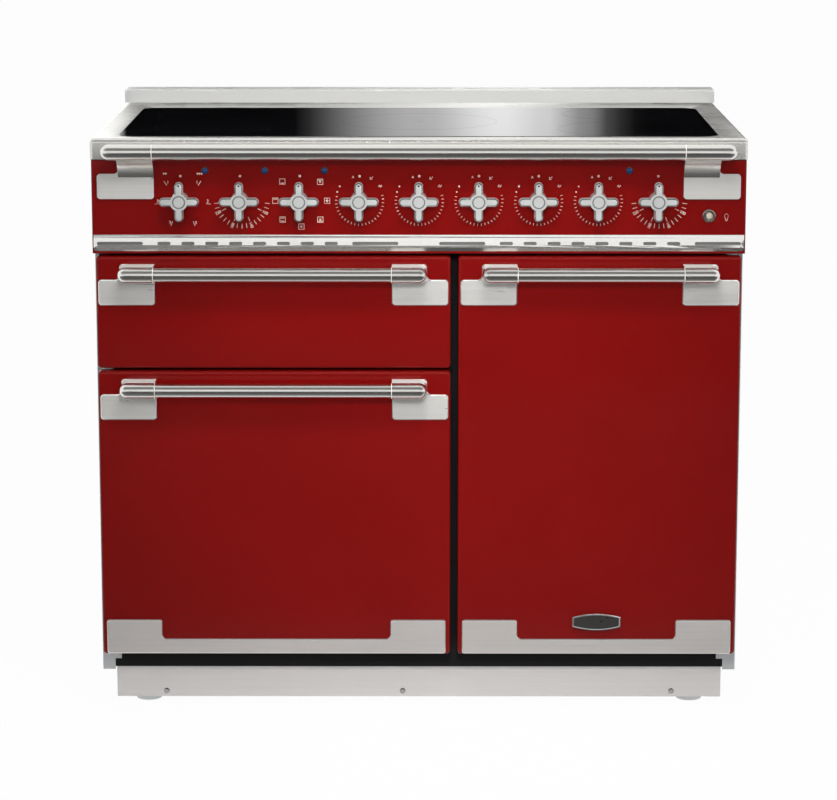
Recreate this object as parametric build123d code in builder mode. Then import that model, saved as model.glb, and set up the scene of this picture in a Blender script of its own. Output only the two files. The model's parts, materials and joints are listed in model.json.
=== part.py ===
"""A free-standing range cooker: induction hob, glide-out grill and two side-opening ovens.

Millimetres, +Z up, front towards -Y, origin under the middle of the whole cooker on the floor.
"""
from build123d import *
import os

# Whole cooker
overall_width = 995.0
overall_depth = 648.0
hob_height = 905.0

# Clearances and common sheets
side_gap = 0.3
rail_gap = 0.4
running_gap = 0.05
overrun = 1.0
sheet = 2.0
wall = 3.0

# Handles
socket_d = 24.0
bar_d = 22.0
bar_groove = 0.8
standoff = 33.0
bracket_t = 4.0
bracket_w = 86.0
bracket_lower_h = 39.0
bracket_tab_w = 53.5
bracket_corner_r = 5.0
bracket_notch_r = 7.0
bracket_bevel = 1.2
handle_inset = 3.8
handle_top_drop = 12.5

# Front planes and gaps between the fronts
front_t = 43.0
front_sheet = 2.5
front_edge_r = 6.0
seal_space = 5.0
panel_proud = 2.0
tray_proud = 3.0
front_side_gap = 5.5
front_gap = 4.0
centre_gap = 11.0
right_front_w = 432.0
grill_front_h = 174.0
panel_h = 143.7
door_bottom = 98.0

# Base, feet, rollers and plinth
plinth_bottom = 12.0
plinth_h = 52.5
plinth_side_inset = 20.5
plinth_setback = 60.0
plinth_return = 60.0
base_top = 90.0
leg_bottom = 60.0
leg_w = 19.5
foot_inset = 67.5
foot_y = -180.0
foot_pad_r = 20.0
foot_pad_h = 10.0
foot_stud_r = 5.0
foot_boss_r = 12.0
foot_boss_drop = 25.0
foot_stud_spare = 6.0
roller_y = 250.0
roller_r = 25.0
roller_w = 20.0
axle_r = 4.0
cheek_t = 4.0
cheek_w = 30.0
cheek_gap = 0.5
plinth_screw_inset = 78.0
screw_middle_x = -25.6
screw_lift = 9.0
screw_head_r = 4.5
screw_head_h = 2.4
screw_shank_r = 2.0
screw_shank_l = 9.0
screw_play = 0.1
plinth_bracket_w = 30.0

# Hob tray, glass, coils and upstand
tray_h = 32.0
tray_corner_r = 6.0
tray_edge_r = 7.0
glass_side_margin = 40.5
glass_setback = 27.0
glass_depth = 437.0
glass_t = 4.0
glass_proud = 0.6
glass_corner_r = 28.0
glass_edge = 0.8
ledge_w = 12.0
ledge_t = 3.0
carrier_drop = 14.6
carrier_lap = 8.0
coil_t = 11.0
coil_hole_r = 18.0
coil_side_inset = 137.0
coil_front_y = -148.0
coil_back_y = 78.0
coil_large_r = 92.0
coil_small_r = 75.0
coil_middle_r = 110.0
coil_middle_y = -38.0
upstand_depth = 52.0
upstand_h = 22.0
upstand_end_margin = 44.25
upstand_slots = 7
upstand_bridge = 15.5
upstand_slot_w = 16.0
upstand_edge_r = 2.5

# Control panel and what is on it
panel_edge_r = 4.0
panel_side_inset = 1.5
knob_end_inset = 135.9
knob_count = 9
knob_drop = 61.7
knob_tip_r = 30.0
knob_arm_w = 13.0
knob_arm_t = 10.0
knob_arm_bevel = 2.5
knob_hub_r = 13.2
knob_height = 30.0
knob_lift = 2.0
knob_ring_r = 9.8
knob_disc_r = 8.0
knob_ring_depth = 1.6
knob_stem_r = 5.0
knob_stem_depth = 22.0
switch_size = 44.0
switch_depth = 30.0
lamp_left_offset = 38.1
lamp_right_offset = 42.9
lamp_left_count = 3
lamp_drop = 16.7
lamp_r = 5.6
lamp_lens_r = 4.1
lamp_ring_h = 2.0
lamp_body_r = 4.0
lamp_body_l = 14.0
light_inset = 57.5
light_drop = 85.1
light_bezel_r = 9.8
light_bezel_h = 2.5
light_button_r = 5.4
light_button_proud = 4.0
light_travel = 2.0
light_body_r = 7.5
light_body_l = 20.0
trim_side_inset = 3.5
trim_lift = 4.0
trim_h = 25.0
trim_t = 2.0
trim_roll_r = 2.4
trim_corner_r = 5.0
trim_slot_lift = 11.8
trim_slot_h = 5.0
trim_slot_l = 20.0
trim_slot_count = 8
trim_slot_end_gap = 32.0
trim_long_slot_l = 70.0
trim_long_middle_gap = 31.0
trim_long_end_gap = 5.0

# Hob rail
rail_drop = 18.0
rail_end_inset = 19.5
rail_plate_drop = 21.7
rail_plate_h = 38.0
rail_plate_w = 86.0
rail_plate_side_inset = 10.5
rail_stem_w = 54.0
rail_stem_t = 7.0
rail_stem_curve_r = 20.0

# Chambers
chamber_depth = 400.0
left_chamber_side_margin = 40.5
left_oven_end_margin = 49.5
right_oven_side_margin = 41.0
right_oven_end_margin = 43.5
grill_end_margin = 32.0
chamber_flange = 12.0
insulation_t = 25.0
seal_w = 8.0
seal_margin = 3.0
ledge_depth = 10.0
ledge_h = 4.0
frame_top_lap = 6.0

# Fans, elements and shelves
fan_cover_size = 230.0
fan_cover_depth = 32.0
fan_cover_t = 2.0
fan_hole_r = 5.0
fan_hole_rings = ((30.0, 8), (50.0, 14))
fan_r = 72.0
fan_depth = 20.0
fan_blade_t = 2.0
fan_blades = 12
fan_hub_r = 12.0
fan_disc_t = 2.0
fan_shaft_r = 4.0
fan_back_gap = 6.0
motor_r = 35.0
motor_depth = 40.0
motor_gap = 34.0
motor_bore_depth = 30.0
motor_stud_r = 4.0
motor_stud_pitch = 25.0
element_r = 3.5
ring_element_r = 92.0
element_side_gap = 80.0
element_runs = 6
element_top_gap = 12.0
element_plate_t = 3.0
element_plate_h = 24.0
shelf_rod_r = 3.0
shelf_wire_r = 1.8
shelf_side_gap = 2.5
shelf_depth = 345.0
shelf_front_gap = 12.0
shelf_wires = 15
left_shelf_heights = (85.0, 185.0)
right_shelf_heights = (110.0, 235.0, 360.0)

# Grill drawer
runner_h = 30.0
runner_reach = 8.0
runner_l = 370.0
runner_z = 26.0
middle_reach = 12.0
inner_reach = 14.0
cradle_t = 2.0
cradle_h = 34.0
cradle_l = 372.0
cradle_cross_h = 20.0
pan_rim_w = 5.0
pan_depth = 32.0
pan_t = 1.5
pan_front_gap = 6.0
pan_length = 340.0
pan_corner_r = 20.0
rack_lift = 20.0
rack_side_gap = 6.0
rack_wires = 17
grill_back_plate_margin = 1.5

# Hinges and catches
hinge_inset = 14.0
hinge_depth = 21.0
hinge_pin_r = 4.0
hinge_pin_l = 14.0
hinge_boss_r = 7.5
hinge_plate_t = 3.0
hinge_top_plate_t = 2.4
hinge_plate_r = 10.0
hinge_washer_h = 1.7
hinge_flange_h = 18.0
catch_drop_share = 0.27
catch_inset = 14.0
catch_r = 4.0
catch_l = 12.0
catch_hole_play = 2.5
catch_foot_r = 8.0
catch_foot_t = 2.0

# Door trims and badge
trim_side_margin = 7.0
trim_bottom_margin = 1.8
door_trim_t = 3.0
door_trim_h = 23.5
door_trim_ear_h = 54.0
door_trim_ear_w = 86.0
door_trim_notch_r = 7.0
door_trim_corner_r = 4.0
door_trim_bevel = 1.0
badge_w = 75.0
badge_h = 27.0
badge_end_h = 16.0
badge_t = 3.0
badge_rise = 53.6
badge_edge = 1.0

# Back panel and terminal box
back_vent_l = 60.0
back_vent_h = 6.0
back_vent_columns = 9
back_vent_rows = 4
back_vent_margin = 92.5
back_vent_pitch_z = 18.0
back_vent_drop = 92.7
terminal_w = 140.0
terminal_h = 90.0
terminal_depth = 40.0
terminal_inset = 137.5
terminal_z = 170.0
inlet_r = 11.0
inlet_collar_r = 16.0
inlet_collar_l = 20.0

# Places worked out from the sizes above
half_w = overall_width / 2
y_front = -overall_depth / 2
y_back = overall_depth / 2
y_bar = y_front + socket_d / 2
y_face = y_bar + standoff
y_panel = y_face - panel_proud
y_tray = y_panel - tray_proud
y_front_back = y_face + front_t
y_frame = y_front_back + seal_space
y_frame_back = y_frame + sheet
y_back_panel = y_back - sheet
y_chamber_back = y_frame + chamber_depth
y_plinth = y_face + plinth_setback
base_bottom = plinth_bottom + plinth_h
tray_bottom = hob_height - tray_h
panel_top = tray_bottom - side_gap
panel_bottom = panel_top - panel_h
fronts_top = panel_bottom - front_gap
grill_bottom = fronts_top - grill_front_h
left_door_top = grill_bottom - front_gap
left_door_h = left_door_top - door_bottom
right_x1 = half_w - front_side_gap
right_x0 = right_x1 - right_front_w
left_x0 = -half_w + front_side_gap
left_x1 = right_x0 - centre_gap
left_mid_x = (left_x0 + left_x1) / 2
right_mid_x = (right_x0 + right_x1) / 2
left_mid_z = door_bottom + left_door_h / 2
right_mid_z = (door_bottom + fronts_top) / 2
grill_mid_z = grill_bottom + grill_front_h / 2
inner_side_x = half_w - sheet
frame_half_w = half_w - leg_w
y_glass_front = y_tray + glass_setback
y_glass_back = y_glass_front + glass_depth
glass_bottom = hob_height + glass_proud - glass_t
ledge_bottom = glass_bottom - ledge_t
y_hinge = y_face + hinge_depth
left_oven_w = left_x1 - left_x0 - 2 * left_chamber_side_margin
left_oven_h = left_door_h - 2 * left_oven_end_margin
right_oven_w = right_front_w - 2 * right_oven_side_margin
right_oven_h = fronts_top - door_bottom - 2 * right_oven_end_margin
grill_h = grill_front_h - 2 * grill_end_margin
element_pitch = (left_oven_w - 2 * element_side_gap) / (element_runs - 1)
plinth_half_w = half_w - plinth_side_inset
screw_x = plinth_half_w - plinth_screw_inset
foot_x = half_w - foot_inset
glass_half_w = half_w - glass_side_margin
coil_side_x = glass_half_w - coil_side_inset
upstand_pitch = (overall_width - 2 * upstand_end_margin) / upstand_slots
knob_pitch = 2 * (half_w - knob_end_inset) / (knob_count - 1)
knob_z = panel_top - knob_drop
lamp_z = panel_top - lamp_drop
light_x = half_w - light_inset
light_z = panel_top - light_drop
trim_half_w = half_w - trim_side_inset
trim_bottom = panel_bottom + trim_lift
trim_slot_z = trim_bottom + trim_slot_lift
rail_z = hob_height - rail_drop
rail_end_x = half_w - rail_end_inset
rail_plate_inner_x = half_w - rail_plate_side_inset - rail_plate_w
rail_plate_bottom = panel_top - rail_plate_drop - rail_plate_h
back_vent_pitch_x = (overall_width - 2 * back_vent_margin) / back_vent_columns
back_vent_z = panel_top - back_vent_drop
terminal_x = half_w - terminal_inset

os.makedirs("parts", exist_ok=True)


def middle_span(middle, length):
    """The two limits of a length about its middle."""
    return middle - length / 2, middle + length / 2


def block(x_limits, y_limits, z_limits, mode=Mode.ADD):
    """A box between three pairs of limits, added to or cut from the part in hand."""
    limits = (x_limits, y_limits, z_limits)
    with Locations(tuple((low + high) / 2 for low, high in limits)):
        Box(*(high - low for low, high in limits), mode=mode)


def rod_x(x_limits, y, z, radius, mode=Mode.ADD):
    """A round bar along X."""
    low, high = x_limits
    with Locations(((low + high) / 2, y, z)):
        Cylinder(radius, high - low, rotation=(0, 90, 0), mode=mode)


def rod_y(x, y_limits, z, radius, mode=Mode.ADD):
    """A round bar along Y."""
    low, high = y_limits
    with Locations((x, (low + high) / 2, z)):
        Cylinder(radius, high - low, rotation=(90, 0, 0), mode=mode)


def rod_z(x, y, z_limits, radius, mode=Mode.ADD):
    """A round bar along Z."""
    low, high = z_limits
    with Locations((x, y, (low + high) / 2)):
        Cylinder(radius, high - low, mode=mode)


def finish(builder, name):
    """Label a finished piece and write it."""
    builder.part.label = name
    export_step(builder.part, f"parts/{name}.step")


# Side panels: outer sheet with a front flange that runs down as a leg, and a back flange
for name, side in (("left_side_panel", -1), ("right_side_panel", 1)):
    with BuildPart() as side_panel:
        outer = sorted((side * half_w, side * inner_side_x))
        flange = sorted((side * half_w, side * frame_half_w))
        block(outer, (y_frame, y_back_panel), (leg_bottom, tray_bottom))
        block(flange, (y_frame, y_frame_back), (leg_bottom, tray_bottom))
        block(flange, (y_back_panel - sheet, y_back_panel), (base_top, tray_bottom))
    finish(side_panel, name)

# Back panel with rows of vent slots and the terminal box's window
with BuildPart() as back_panel:
    block((-half_w, half_w), (y_back_panel, y_back), (base_bottom, tray_bottom))
    with BuildSketch(Plane.XZ.offset(-y_back - overrun)) as back_vents:
        with Locations((0, back_vent_z)):
            with GridLocations(back_vent_pitch_x, back_vent_pitch_z, back_vent_columns, back_vent_rows):
                SlotOverall(back_vent_l, back_vent_h)
    extrude(amount=sheet + 2 * overrun, mode=Mode.SUBTRACT)
    block(middle_span(terminal_x, terminal_w), (y_back_panel - overrun, y_back + overrun),
          middle_span(terminal_z, terminal_h), mode=Mode.SUBTRACT)
finish(back_panel, "back_panel")

# Chassis base: an inverted tray with foot bosses, roller cheeks and plinth brackets
y_plinth_back = y_plinth + sheet
with BuildPart() as chassis_base:
    block((-inner_side_x, inner_side_x), (y_frame_back, y_back_panel - sheet), (base_bottom, base_top))
    block((-inner_side_x + wall, inner_side_x - wall), (y_frame_back + wall, y_back_panel - sheet - wall),
          (base_bottom - overrun, base_top - wall), mode=Mode.SUBTRACT)
    for side in (-1, 1):
        rod_z(side * foot_x, foot_y, (base_top - foot_boss_drop - wall, base_top), foot_boss_r)
        rod_z(side * foot_x, foot_y, (leg_bottom - overrun, base_top + overrun), foot_stud_r + running_gap,
              mode=Mode.SUBTRACT)
        for cheek_side in (-1, 1):
            near = side * foot_x + cheek_side * (roller_w / 2 + cheek_gap)
            cheek = sorted((near, near + cheek_side * cheek_t))
            block(cheek, middle_span(roller_y, cheek_w), (roller_r - cheek_w / 2, base_top))
        rod_x(middle_span(side * foot_x, roller_w + 2 * (cheek_gap + cheek_t + overrun)), roller_y, roller_r,
              axle_r + running_gap, mode=Mode.SUBTRACT)
    for x in (-screw_x, screw_middle_x, screw_x):
        block(middle_span(x, plinth_bracket_w), (y_plinth_back, y_plinth_back + sheet),
              (plinth_bottom + sheet, base_top - wall))
        rod_y(x, (y_plinth, y_plinth_back + sheet + overrun), plinth_bottom + screw_lift,
              screw_shank_r + screw_play, mode=Mode.SUBTRACT)
finish(chassis_base, "chassis_base")

# Feet: a pad on a threaded stud that runs in the base's boss
for name, side in (("front_foot_left", -1), ("front_foot_right", 1)):
    with BuildPart() as foot:
        rod_z(side * foot_x, foot_y, (0, foot_pad_h), foot_pad_r)
        chamfer(foot.edges().group_by(Axis.Z)[-1], foot_pad_h / 4)
        rod_z(side * foot_x, foot_y, (foot_pad_h, base_top + foot_stud_spare), foot_stud_r)
    finish(foot, name)

# Rollers: a wheel whose axle turns in the cheeks
for name, side in (("rear_roller_left", -1), ("rear_roller_right", 1)):
    with BuildPart() as roller:
        rod_x(middle_span(side * foot_x, roller_w), roller_y, roller_r, roller_r)
        rod_x(middle_span(side * foot_x, roller_w + 2 * (cheek_gap + cheek_t)), roller_y, roller_r, axle_r)
    finish(roller, name)

# Plinth: a folded sheet with a top return and two side returns
with BuildPart() as plinth:
    block((-plinth_half_w, plinth_half_w), (y_plinth, y_plinth + plinth_return), (plinth_bottom, base_bottom))
    block((-plinth_half_w + sheet, plinth_half_w - sheet), (y_plinth_back, y_plinth + plinth_return + overrun),
          (plinth_bottom - overrun, base_bottom - sheet), mode=Mode.SUBTRACT)
    block((-plinth_half_w + sheet, plinth_half_w - sheet),
          (y_plinth_back, y_plinth + plinth_return + overrun),
          (base_bottom - sheet - overrun, base_bottom + overrun), mode=Mode.SUBTRACT)
    for x in (-screw_x, screw_middle_x, screw_x):
        rod_y(x, (y_plinth - overrun, y_plinth_back + overrun), plinth_bottom + screw_lift,
              screw_shank_r + screw_play, mode=Mode.SUBTRACT)
finish(plinth, "plinth")

with BuildPart() as plinth_screws:
    for x in (-screw_x, screw_middle_x, screw_x):
        rod_y(x, (y_plinth - screw_head_h, y_plinth), plinth_bottom + screw_lift, screw_head_r)
    chamfer(plinth_screws.edges().group_by(Axis.Y)[0], screw_head_h / 2)
    for x in (-screw_x, screw_middle_x, screw_x):
        rod_y(x, (y_plinth, y_plinth + screw_shank_l), plinth_bottom + screw_lift, screw_shank_r)
finish(plinth_screws, "plinth_screws")

# Chambers, given by their inner limits
left_oven = (middle_span(left_mid_x, left_oven_w), middle_span(left_mid_z, left_oven_h))
right_oven = (middle_span(right_mid_x, right_oven_w), middle_span(right_mid_z, right_oven_h))
grill_chamber = (middle_span(left_mid_x, left_oven_w), middle_span(grill_mid_z, grill_h))
chambers = (grill_chamber, left_oven, right_oven)


def grown(limits, amount):
    """Limits moved outwards by an amount at both ends."""
    return limits[0] - amount, limits[1] + amount


# Front frame: one sheet with an opening for each chamber
with BuildPart() as front_frame:
    block((-frame_half_w, frame_half_w), (y_frame, y_frame_back), (base_bottom, panel_bottom + frame_top_lap))
    for x_limits, z_limits in chambers:
        block(x_limits, (y_frame - overrun, y_frame_back + overrun), z_limits, mode=Mode.SUBTRACT)
finish(front_frame, "front_frame")


def chamber_shell(x_limits, z_limits):
    """A five-sided enamelled box with a front flange, open at the front."""
    block(grown(x_limits, wall), (y_frame_back, y_chamber_back + wall), grown(z_limits, wall))
    block(grown(x_limits, chamber_flange), (y_frame_back, y_frame_back + sheet), grown(z_limits, chamber_flange))
    block(x_limits, (y_frame_back - overrun, y_chamber_back), z_limits, mode=Mode.SUBTRACT)


def shelf_ledges(x_limits, z_bottom, heights):
    """Pairs of ledges on the side walls that the shelves rest on."""
    for height in heights:
        top = z_bottom + height - shelf_rod_r
        for x in ((x_limits[0], x_limits[0] + ledge_depth), (x_limits[1] - ledge_depth, x_limits[1])):
            block(x, (y_frame_back + shelf_front_gap, y_chamber_back), (top - ledge_h, top))


def fan_passage(x, z):
    """Hole for the fan's shaft in the back wall."""
    rod_y(x, (y_chamber_back - overrun, y_chamber_back + wall + overrun), z, fan_shaft_r * 2, mode=Mode.SUBTRACT)


with BuildPart() as grill_cavity:
    chamber_shell(*grill_chamber)
finish(grill_cavity, "grill_cavity")

with BuildPart() as left_oven_cavity:
    chamber_shell(*left_oven)
    shelf_ledges(left_oven[0], left_oven[1][0], left_shelf_heights)
    fan_passage(left_mid_x, left_mid_z)
finish(left_oven_cavity, "left_oven_cavity")

with BuildPart() as right_oven_cavity:
    chamber_shell(*right_oven)
    shelf_ledges(right_oven[0], right_oven[1][0], right_shelf_heights)
    fan_passage(right_mid_x, right_mid_z)
finish(right_oven_cavity, "right_oven_cavity")

# Insulation: a blanket round the sides and back of each chamber
with BuildPart() as cavity_insulation:
    for x_limits, z_limits in chambers:
        y_start = y_frame_back + sheet
        block(grown(x_limits, wall + insulation_t), (y_start, y_chamber_back + wall + insulation_t),
              grown(z_limits, wall + insulation_t / 2))
        block(grown(x_limits, wall), (y_start - overrun, y_chamber_back + wall), grown(z_limits, wall),
              mode=Mode.SUBTRACT)
    for x, z in ((left_mid_x, left_mid_z), (right_mid_x, right_mid_z)):
        rod_y(x, (y_chamber_back, y_chamber_back + wall + insulation_t + overrun), z, motor_r, mode=Mode.SUBTRACT)
finish(cavity_insulation, "cavity_insulation")

# Seals: a rope ring on the frame round each opening
with BuildPart() as door_seals:
    for x_limits, z_limits in chambers:
        block(grown(x_limits, seal_margin + seal_w), (y_front_back + side_gap, y_frame),
              grown(z_limits, seal_margin + seal_w))
        block(grown(x_limits, seal_margin), (y_front_back, y_frame + overrun), grown(z_limits, seal_margin),
              mode=Mode.SUBTRACT)
finish(door_seals, "door_seals")

# Fan motors behind the back walls, on four studs each
y_motor = y_chamber_back + wall + motor_gap
with BuildPart() as fan_motors:
    for x, z in ((left_mid_x, left_mid_z), (right_mid_x, right_mid_z)):
        rod_y(x, (y_motor, y_motor + motor_depth), z, motor_r)
        for stud_x in (x - motor_stud_pitch / 2, x + motor_stud_pitch / 2):
            for stud_z in (z - motor_stud_pitch / 2, z + motor_stud_pitch / 2):
                rod_y(stud_x, (y_chamber_back + wall, y_motor), stud_z, motor_stud_r)
        rod_y(x, (y_motor - overrun, y_motor + motor_bore_depth), z, fan_shaft_r + running_gap,
              mode=Mode.SUBTRACT)
finish(fan_motors, "fan_motors")

# Fan wheels, each on the shaft that turns in its motor
y_fan = (y_chamber_back - fan_back_gap - fan_depth, y_chamber_back - fan_back_gap)
for name, x, z in (("left_oven_fan", left_mid_x, left_mid_z), ("right_oven_fan", right_mid_x, right_mid_z)):
    with BuildPart() as fan:
        rod_y(x, (y_fan[1] - fan_disc_t, y_fan[1]), z, fan_r)
        rod_y(x, y_fan, z, fan_hub_r)
        with BuildSketch(Plane((x, y_fan[1], z), x_dir=(1, 0, 0), z_dir=(0, -1, 0))):
            with PolarLocations((fan_hub_r + fan_r) / 2, fan_blades):
                Rectangle(fan_r - fan_hub_r - 2 * fan_blade_t, fan_blade_t)
        extrude(amount=fan_depth)
        rod_y(x, (y_fan[1], y_motor + motor_bore_depth - overrun), z, fan_shaft_r)
    finish(fan, name)

# Fan covers: shallow boxes on the back walls with rings of holes
y_cover = y_chamber_back - fan_cover_depth
with BuildPart() as fan_covers:
    for x, z in ((left_mid_x, left_mid_z), (right_mid_x, right_mid_z)):
        span_x = middle_span(x, fan_cover_size)
        span_z = middle_span(z, fan_cover_size)
        block(span_x, (y_cover, y_chamber_back), span_z)
        block(grown(span_x, -fan_cover_t), (y_cover + fan_cover_t, y_chamber_back + overrun),
              grown(span_z, -fan_cover_t), mode=Mode.SUBTRACT)
        with BuildSketch(Plane((x, y_cover - overrun, z), x_dir=(1, 0, 0), z_dir=(0, 1, 0))):
            for ring_r, ring_count in fan_hole_rings:
                with PolarLocations(ring_r, ring_count):
                    Circle(fan_hole_r)
        extrude(amount=fan_cover_t + 2 * overrun, mode=Mode.SUBTRACT)
finish(fan_covers, "fan_covers")


def serpentine_element(x_middle, z_middle, y_wall, length):
    """A heating rod bent to and fro in a flat row, on a plate against the back wall."""
    bend_r = element_pitch / 2
    x_first = x_middle - element_pitch * (element_runs - 1) / 2
    y_near = y_wall - element_plate_t
    y_far = y_near - length
    with BuildLine() as route:
        for run in range(element_runs):
            x_run = x_first + run * element_pitch
            start = y_near if run in (0, element_runs - 1) else y_near - 2 * bend_r
            Line((x_run, start, z_middle), (x_run, y_far + bend_r, z_middle))
            if run < element_runs - 1:
                y_bend = y_far + bend_r if run % 2 == 0 else y_near - 2 * bend_r
                turn = -1 if run % 2 == 0 else 1
                ThreePointArc((x_run, y_bend, z_middle), (x_run + bend_r, y_bend + turn * bend_r, z_middle),
                              (x_run + element_pitch, y_bend, z_middle))
    with BuildSketch(Plane((x_first, y_near, z_middle), x_dir=(1, 0, 0), z_dir=(0, -1, 0))) as section:
        Circle(element_r)
    sweep(section.sketch, path=route.wires()[0])
    block(grown(middle_span(x_middle, element_pitch * (element_runs - 1)), element_plate_h / 2),
          (y_near, y_wall), middle_span(z_middle, element_plate_h))


with BuildPart() as heating_elements:
    serpentine_element(left_mid_x, grill_chamber[1][1] - element_top_gap, y_chamber_back,
                       chamber_depth - 2 * element_pitch)
    serpentine_element(left_mid_x, left_oven[1][1] - element_top_gap, y_chamber_back,
                       chamber_depth - 2 * element_pitch)
    for x, z in ((left_mid_x, left_mid_z), (right_mid_x, right_mid_z)):
        with Locations((x, (y_fan[0] + y_fan[1]) / 2, z)):
            Torus(ring_element_r, element_r, rotation=(90, 0, 0))
        for side in (-1, 1):
            rod_y(x + side * ring_element_r, ((y_fan[0] + y_fan[1]) / 2, y_chamber_back), z, element_r)
finish(heating_elements, "heating_elements")


def wire_shelf(x_limits, y_limits, z, wires):
    """A wire shelf: a round frame with wires across, all in one piece."""
    x0, x1 = grown(x_limits, -shelf_rod_r)
    y0, y1 = grown(y_limits, -shelf_rod_r)
    for y in (y0, y1):
        rod_x((x0, x1), y, z, shelf_rod_r)
    for x in (x0, x1):
        rod_y(x, (y0, y1), z, shelf_rod_r)
        for y in (y0, y1):
            with Locations((x, y, z)):
                Sphere(shelf_rod_r)
    for wire in range(1, wires + 1):
        rod_y(x0 + (x1 - x0) * wire / (wires + 1), (y0, y1), z, shelf_wire_r)


y_shelf = (y_frame_back + shelf_front_gap, y_frame_back + shelf_front_gap + shelf_depth)
with BuildPart() as oven_shelves:
    for (x_limits, z_limits), heights in ((left_oven, left_shelf_heights), (right_oven, right_shelf_heights)):
        for height in heights:
            wire_shelf(grown(x_limits, -shelf_side_gap), y_shelf, z_limits[0] + height, shelf_wires)
finish(oven_shelves, "oven_shelves")

# Grill drawer: fixed channels, middle channels, and inner bars on the cradle
z_runner = grill_chamber[1][0] + runner_z
grill_x = grill_chamber[0]
y_runner = (y_frame_back + overrun, y_frame_back + overrun + runner_l)


def channel(side_x, inward, near, reach, half_height, y_limits):
    """A channel that opens towards the middle of the drawer."""
    web = sorted((side_x + inward * near, side_x + inward * (near + cradle_t)))
    lips = sorted((side_x + inward * near, side_x + inward * reach))
    block(web, y_limits, (z_runner - half_height, z_runner + half_height))
    for low in (z_runner - half_height, z_runner + half_height - cradle_t):
        block(lips, y_limits, (low, low + cradle_t))


fixed_half = runner_h / 2
middle_half = fixed_half - cradle_t - rail_gap
inner_half = middle_half - cradle_t - rail_gap
middle_near = cradle_t + rail_gap
inner_near = middle_near + cradle_t + rail_gap
with BuildPart() as grill_runners:
    for side_x, inward in ((grill_x[0], 1), (grill_x[1], -1)):
        channel(side_x, inward, 0, runner_reach, fixed_half, y_runner)
finish(grill_runners, "grill_runners")

with BuildPart() as grill_middle_runners:
    for side_x, inward in ((grill_x[0], 1), (grill_x[1], -1)):
        channel(side_x, inward, middle_near, middle_reach, middle_half, y_runner)
finish(grill_middle_runners, "grill_middle_runners")

grill_front_x = (left_x0, left_x1)
grill_front_z = (grill_bottom, fronts_top)
cradle_x = grown(grill_x, -inner_reach)
cradle_z = (z_runner - fixed_half, z_runner - fixed_half + cradle_h)
y_cradle = (y_front_back, y_front_back + cradle_l)
with BuildPart() as grill_carriage:
    block(grown(grill_front_x, -grill_back_plate_margin), (y_front_back - sheet, y_front_back),
          grown(grill_front_z, -grill_back_plate_margin))
    for side_x, inward in ((grill_x[0], 1), (grill_x[1], -1)):
        inner_bar = sorted((side_x + inward * inner_near, side_x + inward * inner_reach))
        block(inner_bar, y_cradle, (z_runner - inner_half, z_runner + inner_half))
        plate = sorted((side_x + inward * inner_reach, side_x + inward * (inner_reach + cradle_t)))
        block(plate, y_cradle, cradle_z)
    block(cradle_x, (y_cradle[1] - cradle_t, y_cradle[1]), (cradle_z[0], cradle_z[0] + cradle_cross_h))
finish(grill_carriage, "grill_carriage")

# Grill pan: its rim lies on the cradle's side plates, its rack stands on the pan's floor
pan_inner_x = grown(cradle_x, -cradle_t - side_gap - pan_t)
y_pan = (y_front_back + pan_front_gap, y_front_back + pan_front_gap + pan_length)
pan_top = cradle_z[1]
pan_floor = pan_top - pan_depth
with BuildPart() as grill_pan:
    with BuildSketch(Plane.XY.offset(pan_floor - pan_t)):
        with Locations((left_mid_x, (y_pan[0] + y_pan[1]) / 2)):
            RectangleRounded(pan_inner_x[1] - pan_inner_x[0] + 2 * pan_t, y_pan[1] - y_pan[0], pan_corner_r)
    extrude(amount=pan_depth + pan_t)
    block(grown(pan_inner_x, pan_rim_w), y_pan, (pan_top, pan_top + pan_t))
    with BuildSketch(Plane.XY.offset(pan_floor)):
        with Locations((left_mid_x, (y_pan[0] + y_pan[1]) / 2)):
            RectangleRounded(pan_inner_x[1] - pan_inner_x[0], y_pan[1] - y_pan[0] - 2 * pan_t,
                             pan_corner_r - pan_t)
    extrude(amount=pan_depth + pan_t + overrun, mode=Mode.SUBTRACT)
finish(grill_pan, "grill_pan")

rack_x = grown(pan_inner_x, -rack_side_gap)
rack_y = grown(y_pan, -rack_side_gap - pan_t)
rack_z = pan_floor + rack_lift
with BuildPart() as grill_rack:
    wire_shelf(rack_x, rack_y, rack_z, rack_wires)
    for x in grown(rack_x, -pan_corner_r):
        for y in grown(rack_y, -shelf_rod_r):
            rod_z(x, y, (pan_floor, rack_z), shelf_rod_r)
finish(grill_rack, "grill_rack")


# Fronts: enamelled pans, open at the back
def front_pan(x_limits, z_limits):
    """A folded front with soft outer edges, open at the back."""
    with BuildSketch(Plane.XZ.offset(-y_front_back + sheet)) as outline:
        with Locations(((x_limits[0] + x_limits[1]) / 2, (z_limits[0] + z_limits[1]) / 2)):
            RectangleRounded(x_limits[1] - x_limits[0], z_limits[1] - z_limits[0], front_edge_r)
    return extrude(outline.sketch, amount=front_t - sheet)


def front_hollow(x_limits, z_limits):
    """The hollow of a front."""
    block(grown(x_limits, -front_sheet), (y_face + front_sheet, y_front_back), grown(z_limits, -front_sheet),
          mode=Mode.SUBTRACT)


with BuildPart() as grill_front:
    front_pan(grill_front_x, grill_front_z)
    fillet(grill_front.faces().sort_by(Axis.Y)[0].edges(), front_edge_r - front_sheet / 2)
    front_hollow(grill_front_x, grill_front_z)
finish(grill_front, "grill_front")

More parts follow.
